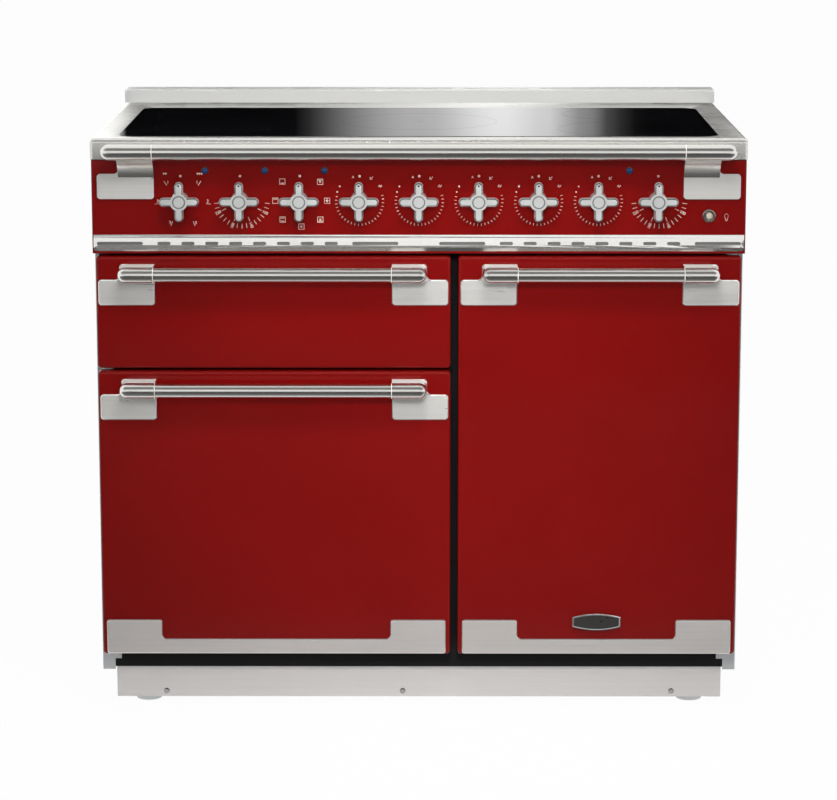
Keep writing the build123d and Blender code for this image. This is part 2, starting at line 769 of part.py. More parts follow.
door_rows = (
    ("left_door", (left_x0, left_x1), (door_bottom, left_door_top), 1),
    ("right_door", (right_x0, right_x1), (door_bottom, fronts_top), -1),
)
for door, x_limits, z_limits, inward in door_rows:
    x_hinge = (x_limits[0] if inward > 0 else x_limits[1]) + inward * hinge_inset
    x_catch = (x_limits[1] if inward > 0 else x_limits[0]) - inward * catch_inset
    catch_heights = (z_limits[0] + left_door_h * catch_drop_share, z_limits[0] + left_door_h * (1 - catch_drop_share))
    with BuildPart() as door_panel:
        front_pan(x_limits, z_limits)
        fillet(door_panel.faces().sort_by(Axis.Y)[0].edges(), front_edge_r - front_sheet / 2)
        front_hollow(x_limits, z_limits)
        boss_low = (z_limits[0] + front_sheet, z_limits[0] + front_sheet + hinge_pin_l)
        boss_high = (z_limits[1] - front_sheet - hinge_pin_l, z_limits[1] - front_sheet)
        for boss in (boss_low, boss_high):
            rod_z(x_hinge, y_hinge, boss, hinge_boss_r)
            rod_z(x_hinge, y_hinge, grown(boss, front_sheet + overrun), hinge_pin_r + running_gap,
                  mode=Mode.SUBTRACT)
    finish(door_panel, door + "_panel")

    with BuildPart() as door_liner:
        with BuildSketch(Plane.XZ.offset(-y_front_back)):
            with Locations(((x_limits[0] + x_limits[1]) / 2, (z_limits[0] + z_limits[1]) / 2)):
                RectangleRounded(x_limits[1] - x_limits[0], z_limits[1] - z_limits[0], front_edge_r)
        extrude(amount=sheet)
        for z in catch_heights:
            rod_y(x_catch, (y_front_back - sheet - overrun, y_front_back + overrun), z, catch_r + catch_hole_play,
                  mode=Mode.SUBTRACT)
    finish(door_liner, door + "_liner")

    trim_x = grown(x_limits, -trim_side_margin)
    trim_low = z_limits[0] + trim_bottom_margin
    trim_ear_top = trim_low + door_trim_ear_h
    trim_strip_top = trim_low + door_trim_h
    with BuildPart() as door_trim:
        with BuildSketch(Plane.XZ.offset(-y_face)):
            with BuildLine():
                FilletPolyline(
                    (trim_x[0], trim_low), (trim_x[1], trim_low), (trim_x[1], trim_ear_top),
                    (trim_x[1] - door_trim_ear_w, trim_ear_top), (trim_x[1] - door_trim_ear_w, trim_strip_top),
                    (trim_x[0] + door_trim_ear_w, trim_strip_top), (trim_x[0] + door_trim_ear_w, trim_ear_top),
                    (trim_x[0], trim_ear_top),
                    radius=(door_trim_corner_r, door_trim_corner_r, door_trim_corner_r, door_trim_corner_r,
                            door_trim_notch_r, door_trim_notch_r, door_trim_corner_r, door_trim_corner_r),
                    close=True)
            make_face()
        extrude(amount=door_trim_t)
        chamfer(door_trim.faces().sort_by(Axis.Y)[0].edges(), door_trim_bevel)
    finish(door_trim, door + "_trim")

# Hinge brackets and catch pegs, fixed to the frame
with BuildPart() as door_fittings:
    for door, x_limits, z_limits, inward in door_rows:
        x_hinge = (x_limits[0] if inward > 0 else x_limits[1]) + inward * hinge_inset
        x_catch = (x_limits[1] if inward > 0 else x_limits[0]) - inward * catch_inset
        low_top = z_limits[0] - side_gap - hinge_washer_h
        high_bottom = z_limits[1] + (front_gap - hinge_top_plate_t) / 2
        for plate in ((low_top - hinge_plate_t, low_top), (high_bottom, high_bottom + hinge_top_plate_t)):
            block(middle_span(x_hinge, 2 * hinge_plate_r), (y_hinge, y_frame), plate)
            rod_z(x_hinge, y_hinge, plate, hinge_plate_r)
        block(middle_span(x_hinge, 2 * hinge_plate_r), (y_frame - sheet, y_frame), (low_top - hinge_flange_h, low_top))
        rod_z(x_hinge, y_hinge, (low_top, low_top + hinge_washer_h), hinge_boss_r)
        rod_z(x_hinge, y_hinge, (low_top, z_limits[0] + hinge_pin_l), hinge_pin_r)
        rod_z(x_hinge, y_hinge, (z_limits[1] - hinge_pin_l, high_bottom), hinge_pin_r)
        for z in (z_limits[0] + left_door_h * catch_drop_share, z_limits[0] + left_door_h * (1 - catch_drop_share)):
            rod_y(x_catch, (y_frame - catch_foot_t, y_frame), z, catch_foot_r)
            rod_y(x_catch, (y_frame - catch_l, y_frame), z, catch_r)
finish(door_fittings, "door_fittings")

# Badge: a plain barrel-shaped plate
badge_plane = Plane((right_mid_x, y_face, door_bottom + badge_rise), x_dir=(1, 0, 0), z_dir=(0, -1, 0))
with BuildPart() as badge_plate:
    with BuildSketch(badge_plane):
        with BuildLine():
            ThreePointArc((-badge_w / 2, badge_end_h / 2), (0, badge_h / 2), (badge_w / 2, badge_end_h / 2))
            Line((badge_w / 2, badge_end_h / 2), (badge_w / 2, -badge_end_h / 2))
            ThreePointArc((badge_w / 2, -badge_end_h / 2), (0, -badge_h / 2), (-badge_w / 2, -badge_end_h / 2))
            Line((-badge_w / 2, -badge_end_h / 2), (-badge_w / 2, badge_end_h / 2))
        make_face()
    extrude(amount=badge_t)
    chamfer(badge_plate.faces().sort_by(Axis.Y)[0].edges(), badge_edge)
finish(badge_plate, "badge_plate")

# Handle bracket, left hand: origin on the front's face, behind the bar, at the bar's joint
with BuildPart() as handle_bracket:
    with BuildSketch(Plane.XZ):
        with BuildLine():
            FilletPolyline(
                (0, -socket_d / 2 - bracket_lower_h), (0, socket_d / 2), (-bracket_tab_w, socket_d / 2),
                (-bracket_tab_w, -socket_d / 2), (-bracket_w, -socket_d / 2),
                (-bracket_w, -socket_d / 2 - bracket_lower_h),
                radius=(bracket_corner_r, bracket_corner_r, bracket_corner_r, bracket_notch_r,
                        bracket_corner_r, bracket_corner_r),
                close=True)
        make_face()
    extrude(amount=bracket_t)
    chamfer(handle_bracket.faces().sort_by(Axis.Y)[0].edges(), bracket_bevel)
    with BuildSketch(Plane.XZ):
        with Locations((-bracket_tab_w / 2 + socket_d / 4, 0)):
            Rectangle(bracket_tab_w - socket_d / 2, socket_d)
        with Locations((-bracket_tab_w + socket_d / 2, 0)):
            Circle(socket_d / 2)
    extrude(amount=standoff)
    rod_x((-bracket_tab_w + socket_d / 2, 0), -standoff, 0, socket_d / 2)
    with Locations((-bracket_tab_w + socket_d / 2, -standoff, 0)):
        Sphere(socket_d / 2)

mirrored_bracket = mirror(handle_bracket.part, about=Plane.YZ)

handle_rows = (
    ("grill_handle", left_x0, left_x1, fronts_top),
    ("left_door_handle", left_x0, left_x1, left_door_top),
    ("right_door_handle", right_x0, right_x1, fronts_top),
)
for name, x0, x1, z_top in handle_rows:
    z_bar = z_top - handle_top_drop - socket_d / 2
    x_left = x0 + handle_inset + bracket_w
    x_right = x1 - handle_inset - bracket_w
    with BuildPart() as handle:
        rod_x((x_left + side_gap, x_right - side_gap), y_bar, z_bar, bar_d / 2)
        chamfer(handle.edges().filter_by(GeomType.CIRCLE), bar_groove)
        with Locations((x_left, y_face, z_bar)):
            add(handle_bracket.part)
        with Locations((x_right, y_face, z_bar)):
            add(mirrored_bracket)
    finish(handle, name)

# Rail bracket, left hand: a plate on the panel, a stem that curves out, and the round end socket
z_plate_top = rail_plate_bottom + rail_plate_h
x_plate = (-rail_plate_inner_x - rail_plate_w, -rail_plate_inner_x)
x_stem = (-rail_plate_inner_x - rail_stem_w, -rail_plate_inner_x)
z_stem = tray_bottom - rail_stem_t
y_plate_front = y_panel - bracket_t
with BuildPart() as rail_bracket:
    with BuildSketch(Plane.XZ.offset(-y_panel)):
        with BuildLine():
            FilletPolyline(
                (x_plate[1], rail_plate_bottom), (x_plate[1], z_stem), (x_stem[0], z_stem),
                (x_stem[0], z_plate_top), (x_plate[0], z_plate_top), (x_plate[0], rail_plate_bottom),
                radius=(bracket_corner_r, 0, 0, bracket_notch_r, bracket_corner_r, bracket_corner_r), close=True)
        make_face()
    extrude(amount=bracket_t)
    with BuildSketch(Plane.YZ.offset(x_stem[0])):
        with BuildLine():
            Line((y_panel, z_stem), (y_panel, z_stem - rail_stem_curve_r))
            Line((y_panel, z_stem - rail_stem_curve_r), (y_plate_front, z_stem - rail_stem_curve_r))
            ThreePointArc((y_plate_front, z_stem - rail_stem_curve_r),
                          (y_plate_front - rail_stem_curve_r / 3, z_stem - rail_stem_curve_r / 3),
                          (y_bar, rail_z - socket_d / 2 + overrun))
            Line((y_bar, rail_z - socket_d / 2 + overrun), (y_bar, rail_z + rail_stem_t / 2))
            Line((y_bar, rail_z + rail_stem_t / 2), (y_tray - rail_stem_t, rail_z))
            Line((y_tray - rail_stem_t, rail_z), (y_panel, z_stem))
        make_face()
    extrude(amount=rail_stem_w)
    rod_x((-rail_end_x + socket_d / 2, -rail_plate_inner_x), y_bar, rail_z, socket_d / 2)
    with Locations((-rail_end_x + socket_d / 2, y_bar, rail_z)):
        Sphere(socket_d / 2)

with BuildPart() as hob_rail:
    rod_x(grown((-rail_plate_inner_x, rail_plate_inner_x), -side_gap), y_bar, rail_z, socket_d / 2)
    chamfer(hob_rail.edges().filter_by(GeomType.CIRCLE), bar_groove)
    add(rail_bracket.part)
    add(mirror(rail_bracket.part, about=Plane.YZ, mode=Mode.PRIVATE))
finish(hob_rail, "hob_rail")

# Control panel: a folded front with holes for the stems, lamps and button, and a window for the vents
knob_places = [(number - (knob_count - 1) / 2) * knob_pitch for number in range(knob_count)]
lamp_places = [x + lamp_left_offset for x in knob_places[:lamp_left_count]] + [knob_places[-1] - lamp_right_offset]
panel_side_x = half_w - panel_side_inset
with BuildPart() as control_panel:
    block((-panel_side_x, panel_side_x), (y_panel, y_frame), (panel_bottom, panel_top))
    fillet(control_panel.faces().sort_by(Axis.Y)[0].edges(), panel_edge_r / 2)
    block((-panel_side_x + sheet, panel_side_x - sheet), (y_panel + sheet, y_frame + overrun),
          (panel_bottom + sheet, panel_top - sheet), mode=Mode.SUBTRACT)
    for x in knob_places:
        rod_y(x, (y_panel - overrun, y_panel + sheet + overrun), knob_z, knob_stem_r + overrun,
              mode=Mode.SUBTRACT)
    for x in lamp_places:
        rod_y(x, (y_panel - overrun, y_panel + sheet + overrun), lamp_z, lamp_body_r + side_gap,
              mode=Mode.SUBTRACT)
    rod_y(light_x, (y_panel - overrun, y_panel + sheet + overrun), light_z, light_body_r + side_gap,
          mode=Mode.SUBTRACT)
    block(grown((-trim_half_w, trim_half_w), -trim_corner_r / 2), (y_panel - overrun, y_panel + sheet + overrun),
          middle_span(trim_slot_z, 2 * trim_slot_h), mode=Mode.SUBTRACT)
finish(control_panel, "control_panel")

# Vent trim: a stainless strip with a rolled top edge and a row of slots
trim_inner_slot = (trim_long_middle_gap, trim_long_middle_gap + trim_long_slot_l)
trim_outer_slot = (trim_half_w - trim_long_end_gap - trim_long_slot_l, trim_half_w - trim_long_end_gap)
trim_slot_first = trim_inner_slot[1] + trim_slot_end_gap
trim_slot_pitch = (trim_outer_slot[0] - trim_slot_end_gap - trim_slot_first) / (trim_slot_count - 1)
with BuildPart() as vent_trim:
    with BuildSketch(Plane.XZ.offset(-y_panel)):
        with BuildLine():
            FilletPolyline(
                (-trim_half_w, trim_bottom), (trim_half_w, trim_bottom), (trim_half_w, trim_bottom + trim_h),
                (-trim_half_w, trim_bottom + trim_h),
                radius=(trim_corner_r, trim_corner_r, 0, 0), close=True)
        make_face()
    extrude(amount=trim_t)
    rod_x((-trim_half_w, trim_half_w), y_panel - trim_t, trim_bottom + trim_h - trim_roll_r, trim_roll_r)
    block((-trim_half_w - overrun, trim_half_w + overrun), (y_panel, y_panel + trim_roll_r),
          (trim_bottom, trim_bottom + trim_h + trim_roll_r), mode=Mode.SUBTRACT)
    with BuildSketch(Plane.XZ.offset(-y_panel - overrun)):
        for side in (-1, 1):
            for number in range(trim_slot_count):
                with Locations((side * (trim_slot_first + number * trim_slot_pitch), trim_slot_z)):
                    SlotOverall(trim_slot_l, trim_slot_h)
            for near, far in (trim_inner_slot, trim_outer_slot):
                with Locations((side * (near + far) / 2, trim_slot_z)):
                    SlotOverall(far - near, trim_slot_h)
    extrude(amount=trim_t + 2 * overrun, both=True, mode=Mode.SUBTRACT)
finish(vent_trim, "vent_trim")

# Switches behind the panel, with bores for the stems, and the light switch's housing
with BuildPart() as control_switches:
    for x in knob_places:
        block(middle_span(x, switch_size), (y_panel + sheet, y_panel + sheet + switch_depth),
              middle_span(knob_z, switch_size))
        rod_y(x, (y_panel + sheet - overrun, y_panel + knob_stem_depth + overrun), knob_z,
              knob_stem_r + running_gap, mode=Mode.SUBTRACT)
    rod_y(light_x, (y_panel - light_bezel_h, y_panel), light_z, light_bezel_r)
    chamfer(control_switches.faces().sort_by(Axis.Y)[0].edges(), light_bezel_h / 3)
    rod_y(light_x, (y_panel, y_panel + light_body_l), light_z, light_body_r)
    rod_y(light_x, (y_panel - light_bezel_h - overrun, y_panel + light_body_l - sheet), light_z,
          light_button_r + running_gap, mode=Mode.SUBTRACT)
finish(control_switches, "control_switches")

# Light button: travels into its housing
y_button = y_panel - light_bezel_h
with BuildPart() as light_switch_button:
    rod_y(light_x, (y_button - light_button_proud, y_panel + light_body_l - sheet - light_travel - side_gap),
          light_z, light_button_r)
    fillet(light_switch_button.edges().group_by(Axis.Y)[0], light_button_proud / 2)
finish(light_switch_button, "light_switch_button")

# Neon lamps: a ring, a body through the panel and a domed lens
with BuildPart() as indicator_lamps:
    for x in lamp_places:
        rod_y(x, (y_panel - lamp_ring_h, y_panel), lamp_z, lamp_r)
    chamfer(indicator_lamps.edges().group_by(Axis.Y)[0], lamp_ring_h / 4)
    for x in lamp_places:
        rod_y(x, (y_panel, y_panel + lamp_body_l), lamp_z, lamp_body_r)
        with Locations((x, y_panel, lamp_z)):
            Sphere(lamp_lens_r)
finish(indicator_lamps, "indicator_lamps")

# Knob, made about its own axis with its foot on the panel's face
with BuildPart() as knob_arms:
    with BuildSketch(Plane.XZ.offset(knob_height - knob_arm_t)):
        SlotOverall(2 * knob_tip_r, knob_arm_w)
    extrude(amount=knob_arm_t)
    chamfer(knob_arms.faces().sort_by(Axis.Y)[0].edges(), knob_arm_bevel)

with BuildPart() as knob:
    rod_y(0, (-knob_height, -knob_lift), 0, knob_hub_r)
    add(knob_arms.part)
    add(knob_arms.part, rotation=(0, 90, 0))
    with BuildSketch(Plane.XZ.offset(knob_height)):
        Circle(knob_ring_r)
        Circle(knob_disc_r, mode=Mode.SUBTRACT)
    extrude(amount=-knob_ring_depth, mode=Mode.SUBTRACT)
    rod_y(0, (-knob_height / 2, knob_stem_depth), 0, knob_stem_r)

knob_names = ("knob_grill", "knob_left_oven_temperature", "knob_left_oven_function", "knob_zone_1", "knob_zone_2",
              "knob_zone_3", "knob_zone_4", "knob_zone_5", "knob_right_oven_temperature")
for name, x in zip(knob_names, knob_places):
    with BuildPart() as placed_knob:
        with Locations((x, y_panel, knob_z)):
            add(knob.part)
    finish(placed_knob, name)

# Hob tray: a pressed shell with a sunk ledge for the glass and an air window under the upstand
glass_x = (-glass_half_w, glass_half_w)
glass_y = (y_glass_front, y_glass_back)
with BuildPart() as hob_tray:
    with BuildSketch(Plane.XY.offset(tray_bottom)):
        with Locations((0, (y_tray + y_back) / 2)):
            RectangleRounded(overall_width, y_back - y_tray, tray_corner_r)
    extrude(amount=tray_h)
    fillet(hob_tray.faces().sort_by(Axis.Z)[-1].edges().sort_by(Axis.Y)[0], tray_edge_r)
    block(grown((-half_w, half_w), -wall), grown((y_tray, y_back), -wall), (tray_bottom - overrun, hob_height - wall),
          mode=Mode.SUBTRACT)
    block(grown(glass_x, wall), grown(glass_y, wall), (ledge_bottom, hob_height - wall))
    with BuildSketch(Plane.XY.offset(glass_bottom)):
        with Locations((0, (y_glass_front + y_glass_back) / 2)):
            RectangleRounded(2 * (glass_half_w + side_gap), glass_depth + 2 * side_gap, glass_corner_r + side_gap)
    extrude(amount=glass_t + overrun, mode=Mode.SUBTRACT)
    block(grown(glass_x, -ledge_w), grown(glass_y, -ledge_w), (ledge_bottom - overrun, hob_height),
          mode=Mode.SUBTRACT)
    block(grown((-half_w, half_w), -ledge_w), grown((y_back - upstand_depth, y_back), -ledge_w),
          (hob_height - wall - overrun, hob_height + overrun), mode=Mode.SUBTRACT)
finish(hob_tray, "hob_tray")

with BuildPart() as hob_glass:
    with BuildSketch(Plane.XY.offset(glass_bottom)):
        with Locations((0, (y_glass_front + y_glass_back) / 2)):
            RectangleRounded(2 * glass_half_w, glass_depth, glass_corner_r)
    extrude(amount=glass_t)
    chamfer(hob_glass.faces().sort_by(Axis.Z)[-1].edges(), glass_edge / 2)
finish(hob_glass, "hob_glass")

with BuildPart() as rear_upstand:
    block((-half_w, half_w), (y_back - upstand_depth, y_back), (hob_height, hob_height + upstand_h))
    fillet(rear_upstand.edges().group_by(Axis.Z)[-1], upstand_edge_r)
    block(grown((-half_w, half_w), -sheet), grown((y_back - upstand_depth, y_back), -sheet),
          (hob_height - overrun, hob_height + upstand_h - sheet), mode=Mode.SUBTRACT)
    with BuildSketch(Plane.XY.offset(hob_height + upstand_h + overrun)):
        with Locations((0, y_back - upstand_depth / 2)):
            with GridLocations(upstand_pitch, upstand_depth, upstand_slots, 1):
                SlotOverall(upstand_pitch - upstand_bridge, upstand_slot_w)
    extrude(amount=-sheet - 2 * overrun, mode=Mode.SUBTRACT)
finish(rear_upstand, "rear_upstand")

# Coil carrier under the ledge, with the five coils standing in it
carrier_x = grown(glass_x, -ledge_w + carrier_lap)
carrier_y = grown(glass_y, -ledge_w + carrier_lap)
carrier_bottom = ledge_bottom - carrier_drop
with BuildPart() as coil_carrier:
    block(carrier_x, carrier_y, (carrier_bottom, ledge_bottom))
    block(grown(carrier_x, -sheet), grown(carrier_y, -sheet), (carrier_bottom + sheet, ledge_bottom + overrun),
          mode=Mode.SUBTRACT)
finish(coil_carrier, "coil_carrier")

coil_rows = (
    (-coil_side_x, coil_front_y, coil_large_r), (-coil_side_x, coil_back_y, coil_small_r),
    (0, coil_middle_y, coil_middle_r),
    (coil_side_x, coil_front_y, coil_small_r), (coil_side_x, coil_back_y, coil_large_r),
)
with BuildPart() as induction_coils:
    coil_z = (carrier_bottom + sheet, carrier_bottom + sheet + coil_t)
    for x, y, radius in coil_rows:
        rod_z(x, y, coil_z, radius)
        rod_z(x, y, grown(coil_z, overrun), coil_hole_r, mode=Mode.SUBTRACT)
finish(induction_coils, "induction_coils")

# Terminal box in the back panel's window, with the cable inlet's collar
terminal_span_x = middle_span(terminal_x, terminal_w)
terminal_span_z = middle_span(terminal_z, terminal_h)
with BuildPart() as terminal_box:
    block(grown(terminal_span_x, sheet), (y_back_panel - terminal_depth, y_back_panel),
          grown(terminal_span_z, sheet))
    block(terminal_span_x, (y_back_panel - overrun, y_back), terminal_span_z)
    block(grown(terminal_span_x, -sheet), (y_back_panel - terminal_depth + sheet, y_back_panel - overrun),
          grown(terminal_span_z, -sheet), mode=Mode.SUBTRACT)
    rod_y(terminal_x, (y_back - inlet_collar_l, y_back), terminal_z, inlet_collar_r)
    rod_y(terminal_x, (y_back - inlet_collar_l - overrun, y_back + overrun), terminal_z, inlet_r,
          mode=Mode.SUBTRACT)
finish(terminal_box, "terminal_box")
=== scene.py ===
"""Looks of a red range cooker: finishes for every part, prints, lamps, badge, trims, studio and camera."""

import json
import logging
import math
from collections.abc import Callable
from dataclasses import dataclass, field
from enum import Enum

import bmesh
import bpy
import numpy as np
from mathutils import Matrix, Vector
from mathutils.bvhtree import BVHTree

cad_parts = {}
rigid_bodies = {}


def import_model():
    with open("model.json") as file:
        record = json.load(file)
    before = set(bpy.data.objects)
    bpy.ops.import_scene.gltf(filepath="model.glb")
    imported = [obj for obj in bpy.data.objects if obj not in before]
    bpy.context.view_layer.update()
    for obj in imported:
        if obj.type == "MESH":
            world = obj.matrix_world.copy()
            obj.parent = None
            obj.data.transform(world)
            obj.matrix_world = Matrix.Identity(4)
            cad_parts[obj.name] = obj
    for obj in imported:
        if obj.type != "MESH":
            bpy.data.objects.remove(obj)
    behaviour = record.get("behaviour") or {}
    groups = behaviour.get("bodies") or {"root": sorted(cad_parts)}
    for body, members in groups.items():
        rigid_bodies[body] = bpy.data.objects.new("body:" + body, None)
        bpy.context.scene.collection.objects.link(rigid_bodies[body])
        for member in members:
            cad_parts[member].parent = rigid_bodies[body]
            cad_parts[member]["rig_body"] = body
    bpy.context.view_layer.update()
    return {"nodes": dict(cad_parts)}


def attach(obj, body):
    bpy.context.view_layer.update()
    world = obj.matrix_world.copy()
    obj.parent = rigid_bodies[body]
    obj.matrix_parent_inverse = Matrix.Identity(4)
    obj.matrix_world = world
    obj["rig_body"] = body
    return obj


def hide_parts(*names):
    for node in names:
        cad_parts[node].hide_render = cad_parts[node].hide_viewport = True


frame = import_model()

LOG = logging.getLogger("range_cooker")
MM = 0.001
MERGE_DISTANCE = 0.001  # millimetres
SHARP_ANGLE = 32.0  # degrees

Array = np.ndarray
Mesh = bpy.types.Mesh
Material = bpy.types.Material
Piece = bpy.types.Object
Socket = bpy.types.NodeSocket
Colour = tuple[float, float, float]
Looks = dict[str, Material]


class Axis(Enum):
    """Axis that a piece is turned about, or coordinate that a card's brightness follows."""

    X = 0
    Y = 1
    Z = 2


# Places that several pieces share, in millimetres


@dataclass(frozen=True)
class Bar:
    """The bar of a handle or of the hob's rail: its CAD node, its body, its height and the X of its ends."""

    node: str
    body: str
    height: float
    left: float
    right: float


BAR_Y = -312.0
BARS = (
    Bar("hob_rail", "chassis", 887.0, -401.0, 401.0),
    Bar("grill_handle", "grill_drawer", 700.5, -402.2, -40.8),
    Bar("left_door_handle", "left_door", 522.5, -402.2, -40.8),
    Bar("right_door_handle", "right_door", 700.5, 149.8, 402.2),
)
COIL_CENTRES = ((-320.0, -148.0), (-320.0, 78.0), (320.0, -148.0), (320.0, 78.0), (0.0, -38.0))
COIL_RADII = (75.0, 92.0, 92.0, 75.0, 110.0)


# Shapes as arrays


def grid_faces(rows: int, columns: int, wrapped: bool) -> Array:
    """Number the quads of a grid of points.

    Formula: quad (r, c) joins points r*columns+c, its row neighbour, the diagonal and its column neighbour,
    where the neighbour of the last column is the first if the grid is wrapped.

    Args:
        rows: points along the first parameter.
        columns: points along the second parameter.
        wrapped: whether the last column joins the first.

    Returns:
        An array of quads, four point numbers each.
    """
    r, c = np.meshgrid(np.arange(rows - 1), np.arange(columns if wrapped else columns - 1), indexing="ij")
    r2, c2 = r + 1, (c + 1) % columns
    quads = np.stack([r * columns + c, r2 * columns + c, r2 * columns + c2, r * columns + c2], axis=-1)
    return quads.reshape(-1, 4)


def unit_rows(vectors: Array, least: float = 1e-12) -> Array:
    """Scale each row to a length of 1, and keep a row of zeros as it is."""
    return vectors / (np.linalg.norm(vectors, axis=1, keepdims=True) + least)


def circle(angles: Array | float) -> Array:
    """Give the points (cos t, sin t) at angles in radians."""
    return np.stack([np.cos(angles), np.sin(angles)], -1)


def rounded_outline(corners: Array, radius: float, steps: int) -> Array:
    """Round the corners of a closed outline.

    Formula: each corner's arc has its centre on the bisector at radius / sin(half angle), and runs between
    the two tangent points at radius / tan(half angle) from the corner.

    Args:
        corners: corner points in order, shape (n, 2).
        radius: radius at each corner.
        steps: points on each arc.

    Returns:
        The rounded outline, shape (n * steps, 2).
    """
    back = unit_rows(np.roll(corners, 1, axis=0) - corners)
    ahead = unit_rows(np.roll(corners, -1, axis=0) - corners)
    half = np.arccos(np.clip((back * ahead).sum(axis=1), -1, 1))[:, None] / 2
    centre = corners + unit_rows(back + ahead) * radius / np.sin(half)
    start = corners + back * radius / np.tan(half) - centre
    end = corners + ahead * radius / np.tan(half) - centre
    first = np.arctan2(start[:, 1], start[:, 0])[:, None]
    turn = np.arctan2(end[:, 1], end[:, 0])[:, None] - first
    turn = (turn + np.pi) % (2 * np.pi) - np.pi
    angle = first + turn * np.linspace(0, 1, steps)[None, :]
    return (centre[:, None, :] + radius * circle(angle)).reshape(-1, 2)


def inset_outline(outline: Array, amount: float, least_cosine: float = 0.3) -> Array:
    """Move a counter-clockwise closed outline inwards.

    Formula: each point moves along the mean of its two edges' inward normals, by amount / cos(half turn),
    where the cosine has a least value, so that a sharp corner doesn't run away.

    Args:
        outline: points in order, shape (n, 2).
        amount: distance to move inwards.
        least_cosine: the least value of the cosine.

    Returns:
        The moved outline.
    """
    edge = np.roll(outline, -1, axis=0) - outline
    normal = unit_rows(np.stack([-edge[:, 1], edge[:, 0]], -1))
    mean = unit_rows(normal + np.roll(normal, 1, axis=0))
    cosine = np.clip((mean * normal).sum(axis=1), least_cosine, 1)
    return outline + mean * (amount / cosine)[:, None]


def dome_profile(radius: float, rise: float, skirt: float, foot: float, steps: int) -> Array:
    """Give the profile of a dome.

    Formula: (radius sin t, skirt + rise cos t) for t up to a quarter turn, then straight down to the foot
    and in to the axis.

    Args:
        radius: the dome's radius.
        rise: height of its round part.
        skirt: where the round part starts, along the axis.
        foot: where the dome ends.
        steps: points on the round part.

    Returns:
        Radius and distance along the axis, shape (steps + 2, 2).
    """
    t = np.linspace(0, np.pi / 2, steps)
    dome = np.stack([radius * np.sin(t), skirt + rise * np.cos(t)], -1)
    return np.concatenate([dome, [[radius, foot], [0.0, foot]]])


@dataclass
class Surface:
    """Points and faces of one piece, in millimetres, gathered from grids and flat outlines."""

    points: list[Array] = field(default_factory=list)
    faces: list[list[int]] = field(default_factory=list)
    count: int = 0

    def add_points(self, points: Array, faces: list[list[int]]) -> None:
        """Take in points with faces that are numbered from the first of them.

        Args:
            points: shape (n, 3).
            faces: lists of point numbers.
        """
        self.points.append(np.asarray(points, float).reshape(-1, 3))
        self.faces += [[self.count + i for i in face] for face in faces]
        self.count += len(self.points[-1])

    def add_stack(self, outlines: list[Array], depths: list[float]) -> None:
        """Take in a plate that faces -Y: outlines in X and Z, one behind the other, with both ends closed.

        Args:
            outlines: outlines with the same number of points each.
            depths: the Y of each outline.
        """
        layers = [np.stack([o[:, 0], np.full(len(o), d), o[:, 1]], -1) for o, d in zip(outlines, depths)]
        n = len(outlines[0])
        quads = grid_faces(len(outlines), n, wrapped=True).tolist()
        top = (len(outlines) - 1) * n
        self.add_points(np.stack(layers), [*quads, list(range(n)), list(range(top, top + n))])

    def add_turned(
        self, profile: Array, centre: tuple, segments: int, axis: Axis = Axis.Y, sign: float = -1.0
    ) -> None:
        """Take in a turned form.

        Formula: point = centre + along * axis + radius * (cos t, sin t) in the plane across the axis.

        Args:
            profile: radius and distance along the axis, shape (k, 2).
            centre: the point where along is 0.
            segments: points round it.
            axis: the axis it is turned about.
            sign: 1 if along grows with the axis, -1 against it.
        """
        t = np.linspace(0, 2 * np.pi, segments, endpoint=False)
        radius, along = np.asarray(profile, float).T
        grid = np.zeros((len(radius), segments, 3)) + np.asarray(centre, float)
        across = [i for i in range(3) if i != axis.value]
        grid[:, :, axis.value] += sign * along[:, None]
        grid[:, :, across] += radius[:, None, None] * circle(t)[None, :, :]
        self.add_points(grid, grid_faces(len(radius), segments, wrapped=True).tolist())

    def build(self, name: str, material: Material, body: str, slot: str, closed: bool = True) -> Piece:
        """Make the piece, at the origin and with its place in its mesh.

        Args:
            name: the piece's name.
            material: its finish.
            body: the body it rides on.
            slot: the record's material slot; not used.
            closed: whether doubles are merged and the faces turned outwards.

        Returns:
            The new object.
        """
        mesh = bpy.data.meshes.new(name)
        mesh.from_pydata((np.concatenate(self.points) * MM).tolist(), [], self.faces)
        if closed:
            work = bmesh.new()
            work.from_mesh(mesh)
            bmesh.ops.remove_doubles(work, verts=work.verts, dist=MERGE_DISTANCE * MM)
            bmesh.ops.recalc_face_normals(work, faces=work.faces)
            work.to_mesh(mesh)
            work.free()
        smooth(mesh, SHARP_ANGLE)
        set_finish(mesh, material)
        piece = show(name, mesh)
        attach(piece, body)
        LOG.info("piece %s on %s, %d faces", name, body, len(mesh.polygons))
        return piece


def smooth(mesh: Mesh, angle: float) -> None:
    """Shade a mesh smooth, apart from edges that turn by more than an angle in degrees."""
    mesh.polygons.foreach_set("use_smooth", np.ones(len(mesh.polygons), bool))
    mesh.set_sharp_from_angle(angle=math.radians(angle))


def set_finish(mesh: Mesh, material: Material) -> None:
    """Give a mesh one finish in place of those it has."""
    mesh.materials.clear()
    mesh.materials.append(material)


def show(name: str, data: bpy.types.ID) -> Piece:
    """Put a mesh, curve, light or camera in the scene and give its object."""
    holder = bpy.data.objects.new(name, data)
    bpy.context.scene.collection.objects.link(holder)
    return holder


def finished_mesh(holder: Piece) -> Mesh:
    """Give a new mesh of an object as its modifiers or its curve make it."""
    bpy.context.view_layer.update()
    return bpy.data.meshes.new_from_object(holder.evaluated_get(bpy.context.evaluated_depsgraph_get()))


def face_values(mesh: Mesh, key: str) -> Array:
    """Read a value of three numbers from each face, shape (faces, 3)."""
    values = np.zeros(len(mesh.polygons) * 3)
    mesh.polygons.foreach_get(key, values)
    return values.reshape(-1, 3)


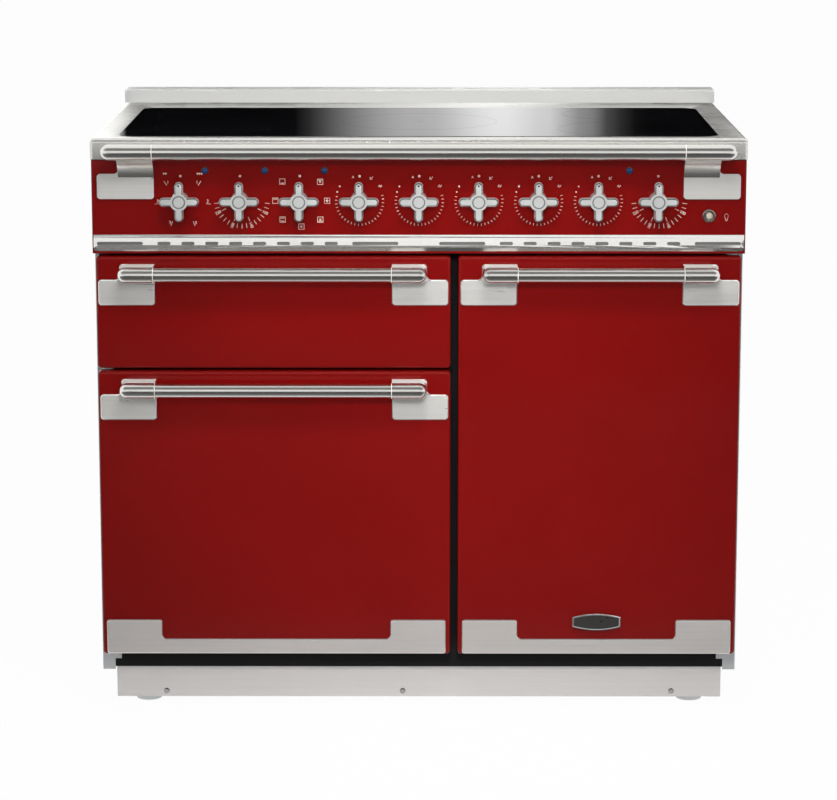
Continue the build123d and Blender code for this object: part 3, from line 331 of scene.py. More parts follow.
FIGURE_SHARE = 0.7  # a figure's height as a share of the font's size
FIGURE_STEPS = 3


def letters(text: str, height: float) -> tuple[Array, list[list[int]]]:
    """Turn a short text into a flat mesh.

    Args:
        text: the figures to write.
        height: the height of a figure in millimetres.

    Returns:
        Points in the plane, shape (n, 2) and centred, and faces.
    """
    curve = bpy.data.curves.new("figures", "FONT")
    curve.body = text
    curve.size = height / FIGURE_SHARE
    curve.align_x, curve.align_y = "CENTER", "CENTER"
    curve.resolution_u = FIGURE_STEPS
    holder = show("figures", curve)
    mesh = finished_mesh(holder)
    flat = np.zeros(len(mesh.vertices) * 3, np.float32)
    mesh.vertices.foreach_get("co", flat)
    points = flat.reshape(-1, 3)[:, :2].astype(float)
    points -= (points.min(axis=0) + points.max(axis=0)) / 2
    faces = [list(p.vertices) for p in mesh.polygons]
    bpy.data.objects.remove(holder)
    bpy.data.curves.remove(curve)
    bpy.data.meshes.remove(mesh)
    return points, faces


@dataclass
class InkSheet(Surface):
    """Flat prints on a face that looks towards -Y, drawn in X and Z at one depth."""

    depth: float = 0.0

    def flat(self, points: Array, faces: list[list[int]]) -> None:
        """Take in a flat shape given in X and Z.

        Args:
            points: shape (n, 2).
            faces: lists of point numbers.
        """
        self.add_points(np.stack([points[:, 0], np.full(len(points), self.depth), points[:, 1]], -1), faces)

    def stroke(self, start: tuple, end: tuple, width: float) -> None:
        """Draw a straight stroke: the two ends moved by half the width across its direction.

        Args:
            start: where it starts, in X and Z.
            end: where it ends.
            width: its width.
        """
        a, b = np.asarray(start, float), np.asarray(end, float)
        along = (b - a) / np.linalg.norm(b - a)
        across = np.array([-along[1], along[0]]) * width / 2
        self.flat(np.stack([a - across, b - across, b + across, a + across]), [[0, 1, 2, 3]])

    def path(self, points: list | Array, width: float, closed: bool = False) -> None:
        """Draw a line through points as strokes that reach half a width past each other.

        Args:
            points: points in X and Z.
            width: width of the line.
            closed: whether the last point joins the first.
        """
        points = np.asarray(points, float)
        follow = np.roll(points, -1, axis=0) if closed else points[1:]
        for a, b in zip(points, follow):
            reach = (b - a) / np.linalg.norm(b - a) * width / 2
            self.stroke(a - reach, b + reach, width)

    def disc(self, centre: tuple, radius: float, segments: int = 20) -> None:
        """Draw a filled disc: centre + radius (cos t, sin t)."""
        t = np.linspace(0, 2 * np.pi, segments, endpoint=False)
        self.flat(np.asarray(centre, float) + radius * circle(t), [list(range(segments))])

    def ring(self, centre: tuple, radius: float, width: float, steps: int = 40) -> None:
        """Draw a ring as quads between its two radii, radius - width / 2 and radius + width / 2.

        Args:
            centre: its centre, in X and Z.
            radius: radius of the middle of its line.
            width: width of its line.
            steps: points round it.
        """
        unit = circle(np.linspace(0, 2 * np.pi, steps))
        both = np.stack([unit * (radius - width / 2), unit * (radius + width / 2)], axis=1)
        points = (both + np.asarray(centre, float)).reshape(-1, 2)
        self.flat(points, grid_faces(steps, 2, wrapped=False)[:, ::-1].tolist())

    def write(self, text: str, centre: tuple, height: float, angle: float = 0.0) -> None:
        """Write figures, turned by an angle in degrees about their middle.

        Args:
            text: the figures.
            centre: where their middle goes, in X and Z.
            height: height of a figure.
            angle: turn, counter-clockwise seen from the front.
        """
        points, faces = letters(text, height)
        c, s = circle(math.radians(angle))
        self.flat(points @ np.array([[c, s], [-s, c]]) + np.asarray(centre, float), faces)


# Shared effects


class Nodes:
    """Short calls for building a node tree."""

    def __init__(self, tree: bpy.types.NodeTree) -> None:
        """Keep the tree that the nodes go into."""
        self.tree = tree

    def fill(self, inputs: bpy.types.bpy_prop_collection, values: dict) -> None:
        """Set each input that is given a value, and link each that is given a socket.

        Args:
            inputs: a node's inputs.
            values: values or sockets by the input's name or number.
        """
        for key, value in values.items():
            if isinstance(value, Socket):
                self.tree.links.new(value, inputs[key])
            else:
                inputs[key].default_value = value

    def add(self, kind: str, values: dict | None = None, **settings: object) -> bpy.types.Node:
        """Add a node, set it and fill its inputs.

        Args:
            kind: the node's type name, after the words ShaderNode.
            values: values or sockets by the input's name or number.
            **settings: the node's own settings.

        Returns:
            The new node.
        """
        node = self.tree.nodes.new("ShaderNode" + kind)
        for key, value in settings.items():
            setattr(node, key, value)
        self.fill(node.inputs, values or {})
        return node

    def find(self, kind: str) -> bpy.types.Node:
        """Find the first node of a type."""
        return next(n for n in self.tree.nodes if n.type == kind)

    def math(self, operation: str, *values: object) -> Socket:
        """Add a Math node and give its result."""
        return self.add("Math", dict(enumerate(values)), operation=operation).outputs[0]

    def weigh(self, first: Socket, second: Socket, shares: tuple[float, float]) -> Socket:
        """Add two values, each by its share."""
        return self.math("ADD", *(self.math("MULTIPLY", v, s) for v, s in zip((first, second), shares)))

    def spread(self, value: object, low: float, high: float, start: float = 0.0, end: float = 1.0) -> Socket:
        """Map a value from start..end to low..high and give the result."""
        values = {"Value": value, "From Min": start, "From Max": end, "To Min": low, "To Max": high}
        return self.add("MapRange", values).outputs["Result"]

    def widen(self, value: Socket, start: float, end: float) -> Socket:
        """Map a value from start..end to 0..1 and give the result."""
        return self.spread(value, 0.0, 1.0, start, end)

    def noise(self, at: Socket, scale: object, **values: float) -> Socket:
        """Add a Noise texture and give its strength."""
        return self.add("TexNoise", {"Vector": at, "Scale": scale, **values}).outputs["Fac"]

    def mix(self, share: object, first: object, second: object) -> Socket:
        """Mix two colours by a share and give the result."""
        return self.add("Mix", {0: share, 6: first, 7: second}, data_type="RGBA").outputs[2]

    def seen_by(self, *rays: str) -> Socket:
        """Tell rays of some kinds from all others.

        Args:
            *rays: the Light Path node's names of the kinds.

        Returns:
            1 for a ray of one of the kinds, else 0.
        """
        path = self.add("LightPath").outputs
        seen: object = 0.0
        for ray in rays:
            seen = self.math("MAXIMUM", seen, path[ray])
        return seen


@dataclass(frozen=True)
class Effect:
    """A pattern that several finishes use: a shader node group, made once, on given coordinates."""

    name: str
    inputs: dict[str, object]
    outputs: tuple[str, ...]

    def build(self) -> bpy.types.NodeTree:
        """Make the group with its named inputs and outputs and draw the pattern in it.

        Returns:
            The group.
        """
        tree = bpy.data.node_groups.new(self.name, "ShaderNodeTree")
        tree.interface.new_socket(name="Vector", in_out="INPUT", socket_type="NodeSocketVector")
        for name, value in self.inputs.items():
            kind = "NodeSocketVector" if isinstance(value, tuple) else "NodeSocketFloat"
            tree.interface.new_socket(name=name, in_out="INPUT", socket_type=kind).default_value = value
        for name in self.outputs:
            tree.interface.new_socket(name=name, in_out="OUTPUT", socket_type="NodeSocketFloat")
        given = tree.nodes.new("NodeGroupInput").outputs
        nodes = Nodes(tree)
        nodes.fill(tree.nodes.new("NodeGroupOutput").inputs, self.draw(nodes, given))
        return tree

    def draw(self, nodes: Nodes, given: bpy.types.bpy_prop_collection) -> dict[str, Socket]:
        """Draw the pattern.

        Args:
            nodes: the group's calls.
            given: the group's inputs, by name.

        Returns:
            What each output puts out, by its name.
        """
        raise NotImplementedError


class BrushedGrain(Effect):
    """Fine and coarse noise on coordinates that are stretched along the grain."""

    scales = (3.0, 0.45)
    shares = (0.65, 0.35)
    band = (0.3, 0.7)

    def draw(self, nodes: Nodes, given: bpy.types.bpy_prop_collection) -> dict[str, Socket]:
        """Mix both noises into a grain, and put out the coarse one as streaks."""
        drawn = nodes.add("VectorMath", {0: given["Vector"], 1: given["Stretch"]}, operation="MULTIPLY")
        fine = nodes.noise(drawn.outputs[0], self.scales[0], Detail=3.0, Roughness=0.7)
        coarse = nodes.noise(drawn.outputs[0], self.scales[1], Detail=2.0)
        both = nodes.weigh(fine, coarse, self.shares)
        return {"Grain": nodes.widen(both, *self.band), "Streaks": nodes.widen(coarse, *self.band)}


class HandlingMarks(Effect):
    """Soft broad noise that varies the gloss."""

    band = (0.35, 0.65)

    def draw(self, nodes: Nodes, given: bpy.types.bpy_prop_collection) -> dict[str, Socket]:
        """Draw one bent noise."""
        noise = nodes.noise(given["Vector"], given["Scale"], Detail=4.0, Roughness=0.6, Distortion=0.6)
        return {"Mask": nodes.widen(noise, *self.band)}


class CoatRipple(Effect):
    """Ripple of a fired or sprayed coat: small soft waves over long flat ones."""

    long_scale = 14.0
    shares = (0.4, 0.6)

    def draw(self, nodes: Nodes, given: bpy.types.bpy_prop_collection) -> dict[str, Socket]:
        """Mix a small and a long noise."""
        small = nodes.noise(given["Vector"], given["Scale"], Detail=1.0)
        long = nodes.noise(given["Vector"], self.long_scale, Detail=1.0)
        return {"Height": nodes.weigh(small, long, self.shares)}


class CoatSpeckle(Effect):
    """Speckles of a fired coat: small cells, each marked up to a distance from its middle."""

    def draw(self, nodes: Nodes, given: bpy.types.bpy_prop_collection) -> dict[str, Socket]:
        """Mark the middle of each cell."""
        cells = nodes.add("TexVoronoi", {"Vector": given["Vector"], "Scale": given["Scale"]})
        return {"Mask": nodes.math("LESS_THAN", cells.outputs["Distance"], given["Size"])}


GRAIN = BrushedGrain("brushed grain", {"Stretch": (3.0, 400.0, 400.0)}, ("Grain", "Streaks")).build()
MARKS = HandlingMarks("handling marks", {"Scale": 9.0}, ("Mask",)).build()
RIPPLE = CoatRipple("coat ripple", {"Scale": 220.0}, ("Height",)).build()
SPECKLE = CoatSpeckle("speckle", {"Scale": 420.0, "Size": 0.22}, ("Mask",)).build()


# Finishes


class Paint(Nodes):
    """The tree of one material, with its shader and the Object coordinates that its patterns read."""

    def __init__(self, tree: bpy.types.NodeTree, colour: Colour, roughness: float) -> None:
        """Find the shader and give it its plain colour and roughness."""
        super().__init__(tree)
        self.colour, self.roughness = colour, roughness
        self.shader = self.find("BSDF_PRINCIPLED")
        self.at = self.add("TexCoord").outputs["Object"]
        self.feed({"Base Color": (*colour, 1.0), "Roughness": roughness})

    def feed(self, values: dict[str, object]) -> None:
        """Fill inputs of the shader with values or sockets."""
        self.fill(self.shader.inputs, values)

    def effect(self, group: bpy.types.NodeTree, **values: object) -> bpy.types.bpy_prop_collection:
        """Place a shared effect on the Object coordinates and give its outputs."""
        return self.add("Group", {"Vector": self.at, **values}, node_tree=group).outputs

    def bump(self, height: Socket, distance: float) -> None:
        """Let a height raise the surface by a distance in metres."""
        bump = self.add("Bump", {"Height": height, "Distance": distance, "Strength": 1.0})
        self.feed({"Normal": bump.outputs["Normal"]})

    def tone(self, share: Socket, depth: float) -> None:
        """Let a share vary the colour from a darker to a lighter tone."""
        dark, light = ([min(1.0, c * factor) for c in self.colour] for factor in (1 - depth, 1 + depth))
        self.feed({"Base Color": self.mix(share, (*dark, 1.0), (*light, 1.0))})

    def blend(self, mask: Socket, other: Colour) -> None:
        """Let a mask turn the colour into another."""
        self.feed({"Base Color": self.mix(mask, (*self.colour, 1.0), (*other, 1.0))})

    def gloss(self, share: Socket, down: float, up: float) -> None:
        """Let a share vary the roughness from a little below its value to a little above."""
        self.feed({"Roughness": self.spread(share, self.roughness - down, self.roughness + up)})


@dataclass(frozen=True)
class Finish:
    """A material with its own nodes, on Object coordinates."""

    name: str
    colour: Colour
    roughness: float

    def build(self) -> Material:
        """Make the material and put the finish's patterns on it.

        Returns:
            The material.
        """
        material = bpy.data.materials.new(self.name)
        material.use_nodes = True
        self.apply(Paint(material.node_tree, self.colour, self.roughness))
        return material

    def apply(self, paint: Paint) -> None:
        """Put the finish's patterns on a material.

        Args:
            paint: the calls for the material's tree.
        """
        raise NotImplementedError


@dataclass(frozen=True)
class BrushedSteel(Finish):
    """Steel with a straight brushed grain along X."""

    contrast: float = 0.05
    metallic: float = 0.8
    stretch: tuple[float, float, float] = (5.0, 520.0, 520.0)
    streak_depth: float = 0.015
    mark_depth: float = 0.02

    def apply(self, paint: Paint) -> None:
        """Vary colour and roughness along the grain, and the roughness with handling marks."""
        grain = paint.effect(GRAIN, Stretch=self.stretch)
        marks = paint.effect(MARKS, Scale=7.0)
        paint.tone(grain["Grain"], self.contrast)
        low, high = self.roughness - self.streak_depth, self.roughness + self.streak_depth
        streaks = paint.spread(grain["Streaks"], low, high)
        marked = paint.spread(marks["Mask"], -self.mark_depth, self.mark_depth)
        paint.feed({"Metallic": self.metallic, "Roughness": paint.math("ADD", streaks, marked)})


@dataclass(frozen=True)
class PolishedSteel(Finish):
    """Bright steel or chrome with faint drawing lines along X and handling marks."""

    contrast: float = 0.03
    stretch: tuple[float, float, float] = (6.0, 700.0, 700.0)
    mark_depth: float = 0.03

    def apply(self, paint: Paint) -> None:
        """Keep the metal bright, with a low roughness that the marks vary."""
        grain = paint.effect(GRAIN, Stretch=self.stretch)
        paint.tone(grain["Grain"], self.contrast)
        paint.gloss(paint.effect(MARKS, Scale=22.0)["Mask"], self.mark_depth, self.mark_depth)
        paint.feed({"Metallic": 1.0})


@dataclass(frozen=True)
class GlossEnamel(Finish):
    """Glossy coloured enamel with a slight ripple."""

    coat: float = 0.45
    coat_roughness: float = 0.03
    specular: float = 0.06
    contrast: float = 0.05
    gloss_range: tuple[float, float] = (0.02, 0.03)
    ripple_height: float = 0.00002

    def apply(self, paint: Paint) -> None:
        """Vary the colour a little and lay a clear glossy coat over it."""
        marks = paint.effect(MARKS, Scale=3.0)["Mask"]
        paint.tone(marks, self.contrast)
        paint.gloss(marks, *self.gloss_range)
        coat = {"Coat Weight": self.coat, "Coat Roughness": self.coat_roughness}
        paint.feed({"Specular IOR Level": self.specular, **coat})
        paint.bump(paint.effect(RIPPLE, Scale=260.0)["Height"], self.ripple_height)


@dataclass(frozen=True)
class FiredEnamel(Finish):
    """Dark fired enamel with pale speckles, as in an oven."""

    speck: Colour = (0.3, 0.32, 0.36)
    ripple_height: float = 0.00012

    def apply(self, paint: Paint) -> None:
        """Sprinkle speckles over the dark coat and ripple its surface."""
        paint.blend(paint.effect(SPECKLE, Scale=520.0, Size=0.16)["Mask"], self.speck)
        paint.bump(paint.effect(RIPPLE, Scale=300.0)["Height"], self.ripple_height)


@dataclass(frozen=True)
class BlackGlass(Finish):
    """Polished black ceramic glass with faint wipe marks."""

    contrast: float = 0.2
    gloss_range: tuple[float, float] = (0.015, 0.02)

    def apply(self, paint: Paint) -> None:
        """Keep it almost a mirror, with wipe marks in its tone and its roughness."""
        marks = paint.effect(MARKS, Scale=6.0)["Mask"]
        paint.tone(marks, self.contrast)
        paint.gloss(marks, *self.gloss_range)


@dataclass(frozen=True)
class CoatedSheet(Finish):
    """Sheet metal under a fine, slightly pebbled coat."""

    metallic: float = 0.0
    pebble: float = 900.0
    specular: float = 0.5
    clouds: float = 0.05
    clouds_in_tone: float = 1.6
    pebble_height: float = 0.000003

    def apply(self, paint: Paint) -> None:
        """Pebble the coat and vary its tone and gloss softly."""
        marks = paint.effect(MARKS, Scale=8.0)["Mask"]
        paint.tone(marks, self.clouds_in_tone * self.clouds)
        paint.gloss(marks, self.clouds, self.clouds)
        paint.feed({"Metallic": self.metallic, "Specular IOR Level": self.specular})
        paint.bump(paint.effect(RIPPLE, Scale=self.pebble)["Height"], self.pebble_height)


@dataclass(frozen=True)
class HeatedMetal(Finish):
    """Element sheath that heat has coloured in soft bands."""

    metallic: float = 0.7
    tint: Colour = (0.12, 0.07, 0.09)
    mark_depth: float = 0.08
    scale_height: float = 0.00004

    def apply(self, paint: Paint) -> None:
        """Mix the grey sheath with a brown and violet tint in patches."""
        marks = paint.effect(MARKS, Scale=18.0)["Mask"]
        paint.blend(marks, self.tint)
        paint.gloss(marks, self.mark_depth, self.mark_depth)
        paint.feed({"Metallic": self.metallic})
        paint.bump(paint.effect(RIPPLE, Scale=700.0)["Height"], self.scale_height)


@dataclass(frozen=True)
class Fibre(Finish):
    """Matted or woven mineral fibre."""

    strands: tuple[float, float, float] = (500.0, 500.0, 500.0)
    weft: tuple[float, float] = (0.4, 0.6)
    contrast: float = 0.35
    strand_height: float = 0.0004

    def apply(self, paint: Paint) -> None:
        """Show short fibres as grain in two directions."""
        x, y, z = self.strands
        one = paint.effect(GRAIN, Stretch=self.strands)["Grain"]
        two = paint.effect(GRAIN, Stretch=(y * self.weft[0], x, z * self.weft[1]))["Grain"]
        both = paint.math("MULTIPLY", one, two)
        paint.tone(both, self.contrast)
        paint.bump(both, self.strand_height)


@dataclass(frozen=True)
class WoundCopper(Finish):
    """Lacquered copper wire wound in a flat spiral about each coil's centre."""

    metallic: float = 0.85
    pitch: float = 3.2
    contrast: float = 0.45
    wire_height: float = 0.0008
    far_away: float = 9.0

    def apply(self, paint: Paint) -> None:
        """Turn the distance d from the nearest centre into rings: the size of sin(pi d / pitch)."""
        flat = paint.add("VectorMath", {0: paint.at, 1: (1.0, 1.0, 0.0)}, operation="MULTIPLY").outputs[0]
        nearest: object = self.far_away
        for x, y in COIL_CENTRES:
            distance = paint.add("VectorMath", {0: flat, 1: (x * MM, y * MM, 0.0)}, operation="DISTANCE")
            nearest = paint.math("MINIMUM", nearest, distance.outputs["Value"])
        turns = paint.math("MULTIPLY", nearest, math.pi / (self.pitch * MM))
        wave = paint.math("ABSOLUTE", paint.math("SINE", turns))
        # The tone darkens the gaps between the turns as painted shade, while the bump raises the turns.
        paint.tone(wave, self.contrast)
        paint.bump(wave, self.wire_height)
        paint.feed({"Metallic": self.metallic})


@dataclass(frozen=True)
class MouldedPlastic(Finish):
    """Moulded plastic with a fine spark-eroded texture."""

    contrast: float = 0.06
    texture_height: float = 0.00004

    def apply(self, paint: Paint) -> None:
        """Roughen the moulding finely and vary its tone a little."""
        paint.tone(paint.effect(MARKS, Scale=30.0)["Mask"], self.contrast)
        paint.bump(paint.effect(RIPPLE, Scale=1400.0)["Height"], self.texture_height)


@dataclass(frozen=True)
class LampLens(Finish):
    """Coloured lens over a dark lamp, with small lighter flecks."""

    coat: float = 0.5
    coat_roughness: float = 0.02
    fleck_gain: float = 2.2

    def apply(self, paint: Paint) -> None:
        """Give the dome its flecks and a very glossy coat."""
        red, green, blue = (min(1.0, c * self.fleck_gain) for c in self.colour)
        paint.blend(paint.effect(SPECKLE, Scale=600.0, Size=0.25)["Mask"], (red, green, blue))
        paint.feed({"Coat Weight": self.coat, "Coat Roughness": self.coat_roughness})


@dataclass(frozen=True)
class Ink(Finish):
    """Screen-printed ink with a slightly uneven tone."""

    contrast: float = 0.12
    ink_height: float = 0.00002

    def apply(self, paint: Paint) -> None:
        """Vary the ink's tone and raise it unevenly."""
        marks = paint.effect(MARKS, Scale=160.0)["Mask"]
        paint.tone(marks, self.contrast)
        paint.bump(marks, self.ink_height)


FINISHES: dict[str, Finish] = {
    "red": GlossEnamel("red enamel", (0.15, 0.0018, 0.0014), 0.35),
    "tray": BrushedSteel("tray steel", (0.72, 0.71, 0.68), 0.27, metallic=0.85),
    "upstand": BrushedSteel("upstand steel", (0.76, 0.76, 0.745), 0.32, contrast=0.03, metallic=0.6),
    "trim": BrushedSteel("trim steel", (0.57, 0.54, 0.52), 0.34, contrast=0.07, metallic=0.5),
    # Painted light: a pale, barely metallic copy of the bracket steel for the handles' upward faces.
    "arm": CoatedSheet("arm tops painted light", (0.74, 0.73, 0.7), 0.4, metallic=0.1, specular=0.1, clouds=0.02),
    "slot_shade": CoatedSheet("slot shade", (0.16, 0.155, 0.15), 0.45),
    "vent": BrushedSteel("vent steel", (0.93, 0.92, 0.89), 0.15, contrast=0.03, metallic=0.85),
    "bracket": BrushedSteel("bracket steel", (0.64, 0.63, 0.605), 0.3, contrast=0.07, metallic=0.45),
    "bar": PolishedSteel("bar steel", (0.8, 0.785, 0.75), 0.22),
    "lamp_ring": PolishedSteel("dark chrome", (0.1, 0.1, 0.1), 0.15),
    "chrome": PolishedSteel("chrome", (0.85, 0.85, 0.85), 0.07),
    "plinth": BrushedSteel("plinth steel", (0.63, 0.61, 0.6), 0.36, metallic=0.5),
    "knob": CoatedSheet("satin knob", (0.57, 0.575, 0.565), 0.3, metallic=0.45, clouds=0.02),
    "leg": CoatedSheet("side sheet", (0.5, 0.51, 0.52), 0.4, metallic=0.55),
    "zinc": CoatedSheet("zinc sheet", (0.52, 0.53, 0.54), 0.42, metallic=0.85, pebble=350.0, clouds=0.02),
    "dark": CoatedSheet("dark sheet", (0.009, 0.0095, 0.01), 0.5, specular=0.08),
    "fired": FiredEnamel("fired enamel", (0.016, 0.018, 0.024), 0.22),
    "glass": BlackGlass("black glass", (0.006, 0.006, 0.007), 0.03),
    "element": HeatedMetal("element sheath", (0.16, 0.15, 0.14), 0.42),
    "wool": Fibre("mineral wool", (0.55, 0.5, 0.36), 0.95),
    "rope": Fibre("seal rope", (0.1, 0.1, 0.1), 0.9, strands=(900.0, 500.0, 900.0)),
    "copper": WoundCopper("wound copper", (0.5, 0.22, 0.1), 0.35),
    "plate": BrushedSteel("mill sheet", (0.7, 0.7, 0.72), 0.4, contrast=0.06),
    "black_plastic": MouldedPlastic("black moulding", (0.018, 0.018, 0.019), 0.5),
    "cream_plastic": MouldedPlastic("cream moulding", (0.42, 0.37, 0.3), 0.25),
    "rubber": MouldedPlastic("roller rubber", (0.03, 0.03, 0.03), 0.7),
    # Painted shade: a darker copy of the knob finish for the knobs' bevelled sides.
    "knob_flank_painted_shade": CoatedSheet("knob flank painted shade", (0.34, 0.345, 0.34), 0.25, metallic=0.75),
    "ring": CoatedSheet("joint ring", (0.86, 0.84, 0.78), 0.3, metallic=0.2),
    # Painted shade: a dark ring laid at the bottom of each knob's groove.
    "groove": MouldedPlastic("groove painted shade", (0.16, 0.165, 0.16), 0.4),
    "lens": LampLens("blue lens", (0.004, 0.024, 0.1), 0.06),
    "cream_ink": Ink("cream ink", (0.74, 0.58, 0.5), 0.5),
    "grey_ink": Ink("grey ink", (0.012, 0.012, 0.013), 0.16),
    "bezel": PolishedSteel("bezel steel", (0.42, 0.38, 0.33), 0.25),
    "screw": PolishedSteel("screw steel", (0.34, 0.34, 0.34), 0.22),
    "black_ink": Ink("black ink", (0.008, 0.008, 0.008), 0.4),
    "badge_field": CoatedSheet("badge field", (0.045, 0.043, 0.04), 0.3, metallic=0.4),
}


# Sub-assemblies


@dataclass(frozen=True)
class SoftEdges:
    """A copy of a CAD node with its sharp edges rounded, which stands for that node.

    Formula: the copy's doubles are merged and its flat areas joined, and a bevel of the given width rounds
    each edge that turns by more than the sharp angle, in degrees.
    """

    width: float = 0.5
    segments: int = 2
    sharp_angle: float = 30.0
    flat_angle: float = 0.6
    merge_distance: float = 0.002

    def merged(self, node: Piece, reshape: Callable | None) -> Mesh:
        """Give a node's mesh with its doubles merged and its flat areas joined.

        Args:
            node: the CAD node.
            reshape: change to the merged copy before its flat areas are joined.

        Returns:
            The new mesh.
        """
        work = bmesh.new()
        work.from_mesh(node.data)
        bmesh.ops.remove_doubles(work, verts=work.verts, dist=self.merge_distance * MM)
        if reshape:
            reshape(work)
        flat = math.radians(self.flat_angle)
        bmesh.ops.dissolve_limit(work, angle_limit=flat, verts=work.verts, edges=work.edges)
        mesh = bpy.data.meshes.new("merged")
        work.to_mesh(mesh)
        work.free()
        smooth(mesh, self.sharp_angle)
        return mesh

    def build(self, node: str, material: Material, slot: str, reshape: Callable | None = None) -> Mesh:
        """Make the rounded copy.

        Args:
            node: the CAD node.
            material: its finish.
            slot: the record's material slot; not used.
            reshape: change to the merged copy before its edges are rounded.

        Returns:
            The new object's mesh.
        """
        source = frame["nodes"][node]
        mesh = self.merged(source, reshape)
        holder = show("rounding", mesh)
        bevel = holder.modifiers.new("rounding", "BEVEL")
        bevel.width, bevel.segments = self.width * MM, self.segments
        bevel.limit_method, bevel.angle_limit = "ANGLE", math.radians(self.sharp_angle)
        bevel.use_clamp_overlap, bevel.harden_normals = True, True
        done = finished_mesh(holder)
        bpy.data.objects.remove(holder)
        bpy.data.meshes.remove(mesh)
        done.name = node + "_soft"
        set_finish(done, material)
        piece = show(node + "_soft", done)
        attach(piece, source["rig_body"])
        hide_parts(node)
        LOG.info("rounded %s, %d faces", node, len(done.polygons))
        return done


def paint_flank_light_and_shade(mesh: Mesh, material: Material, low: float = 0.15, high: float = 0.97) -> Array:
    """Give a front plate's bevelled edges a second finish: lighter for painted highlights, darker for
    painted shade.

    Formula: a face is an edge's flank where the Y part of its normal lies between two sizes.

    Args:
        mesh: the plate's mesh.
        material: finish of the flanks, a lighter one for painted highlights and a darker one for painted
            shade.
        low: the smaller size.
        high: the larger size.

    Returns:
        The number of each face's finish.
    """
    mesh.materials.append(material)
    depth = np.abs(face_values(mesh, "normal")[:, 1])
    chosen = ((depth > low) & (depth < high)).astype(np.int32)
    mesh.polygons.foreach_set("material_index", chosen)
    mesh.update()
    return chosen


@dataclass
class CookerBody:
    """The CAD nodes: each gets its finish, and those with visible sheet edges get them rounded."""

    looks: Looks
    bar_reach: float = 12.9
    painted_light_top_slope: float = 0.7
    trim_fold_z: float = 738.6
    trim_fold_depth: float = 1.6
    trim_face_y: float = -283.0
    trim_face_z: tuple[float, float] = (733.0, 758.0)
    trim_face_slack: float = 0.02
    plain: tuple[tuple[str, str], ...] = (
        ("glass", "hob_glass"),
        ("zinc", "back_panel grill_runners grill_middle_runners grill_carriage door_fittings fan_motors"),
        ("zinc", "front_foot_left front_foot_right left_oven_fan right_oven_fan"),
        ("dark", "front_frame chassis_base"),
        ("fired", "grill_cavity left_oven_cavity right_oven_cavity fan_covers grill_pan"),
        ("fired", "left_door_liner right_door_liner"),
        ("chrome", "oven_shelves grill_rack"),
        ("element", "heating_elements"),
        ("wool", "cavity_insulation"),
        ("rope", "door_seals"),
        ("copper", "induction_coils"),
        ("plate", "coil_carrier"),
        ("black_plastic", "control_switches terminal_box"),
        ("lamp_ring", "indicator_lamps"),
        ("cream_plastic", "light_switch_button"),
        ("rubber", "rear_roller_left rear_roller_right"),
        ("leg", "left_side_panel right_side_panel"),
        ("screw", "plinth_screws"),
    )
    fine: SoftEdges = SoftEdges(0.5, 3)
    wide: SoftEdges = SoftEdges(1.0, 3)
    broad: SoftEdges = SoftEdges(1.6, 3)

    def dress(self) -> None:
        """Give every node its finish."""
        looks = self.looks
        for key, names in self.plain:
            for name in names.split():
                set_finish(frame["nodes"][name].data, looks[key])
        for name, key in (("hob_tray", "tray"), ("rear_upstand", "upstand"), ("plinth", "plinth")):
            self.fine.build(name, looks[key], "stainless")
        for name in ("control_panel", "grill_front", "left_door_panel", "right_door_panel"):
            self.wide.build(name, looks["red"], "red_enamel")
        names = ("left_door_trim", "right_door_trim")
        trims = [self.wide.build(name, looks["trim"], "stainless") for name in names]
        trims.append(self.fine.build("vent_trim", looks["vent"], "stainless", self.bend_trim))
        for bar in BARS:
            self.polish_bar(self.broad.build(bar.node, looks["bracket"], "bright_steel"), bar.height)
        # The trims' bevelled flanks take the lighter bar finish as a painted highlight along their edges.
        for trim in trims:
            paint_flank_light_and_shade(trim, looks["bar"])

    def polish_bar(self, mesh: Mesh, z: float) -> None:
        """Polish a handle's bar, and paint light on its flanks and on the tops of its arms.

        Formula: the bar's faces have their middles within bar_reach of its axis. The flanks take the bar's
        finish as a painted highlight. An arm's top faces upwards, with a Z part of its normal above
        painted_light_top_slope, and takes the pale finish as painted light.

        Args:
            mesh: the handle's mesh.
            z: height of the bar's axis.
        """
        flanks = paint_flank_light_and_shade(mesh, self.looks["bar"])
        # The pale arm finish is painted light on the faces of the arms that look up.
        mesh.materials.append(self.looks["arm"])
        middles = face_values(mesh, "center") / MM
        away = np.hypot(middles[:, 1] - BAR_Y, middles[:, 2] - z)
        chosen = np.where(face_values(mesh, "normal")[:, 2] > self.painted_light_top_slope, 2, flanks)
        chosen = np.where(away < self.bar_reach, 1, chosen)
        mesh.polygons.foreach_set("material_index", chosen.astype(np.int32))
        mesh.update()

    def bend_trim(self, work: bmesh.types.BMesh) -> None:
        """Fold the vent trim's face along a line below its slots, with its rolled edges flat in the slopes.

        Formula: the face's depth grows evenly from nothing at the fold to trim_fold_depth at both edges.

        Args:
            work: the trim's merged copy.
        """
        fold, depth = self.trim_fold_z * MM, self.trim_fold_depth * MM
        geometry = work.verts[:] + work.edges[:] + work.faces[:]
        bmesh.ops.bisect_plane(work, geom=geometry, plane_co=(0, 0, fold), plane_no=(0, 0, 1))
        low, high = self.trim_face_z[0] * MM, self.trim_face_z[1] * MM
        front = self.trim_face_y * MM
        for vertex in work.verts:
            if vertex.co.y < front + self.trim_face_slack * MM:
                reach = low if vertex.co.z < fold else high
                vertex.co.y = front + depth * (vertex.co.z - fold) / (reach - fold)


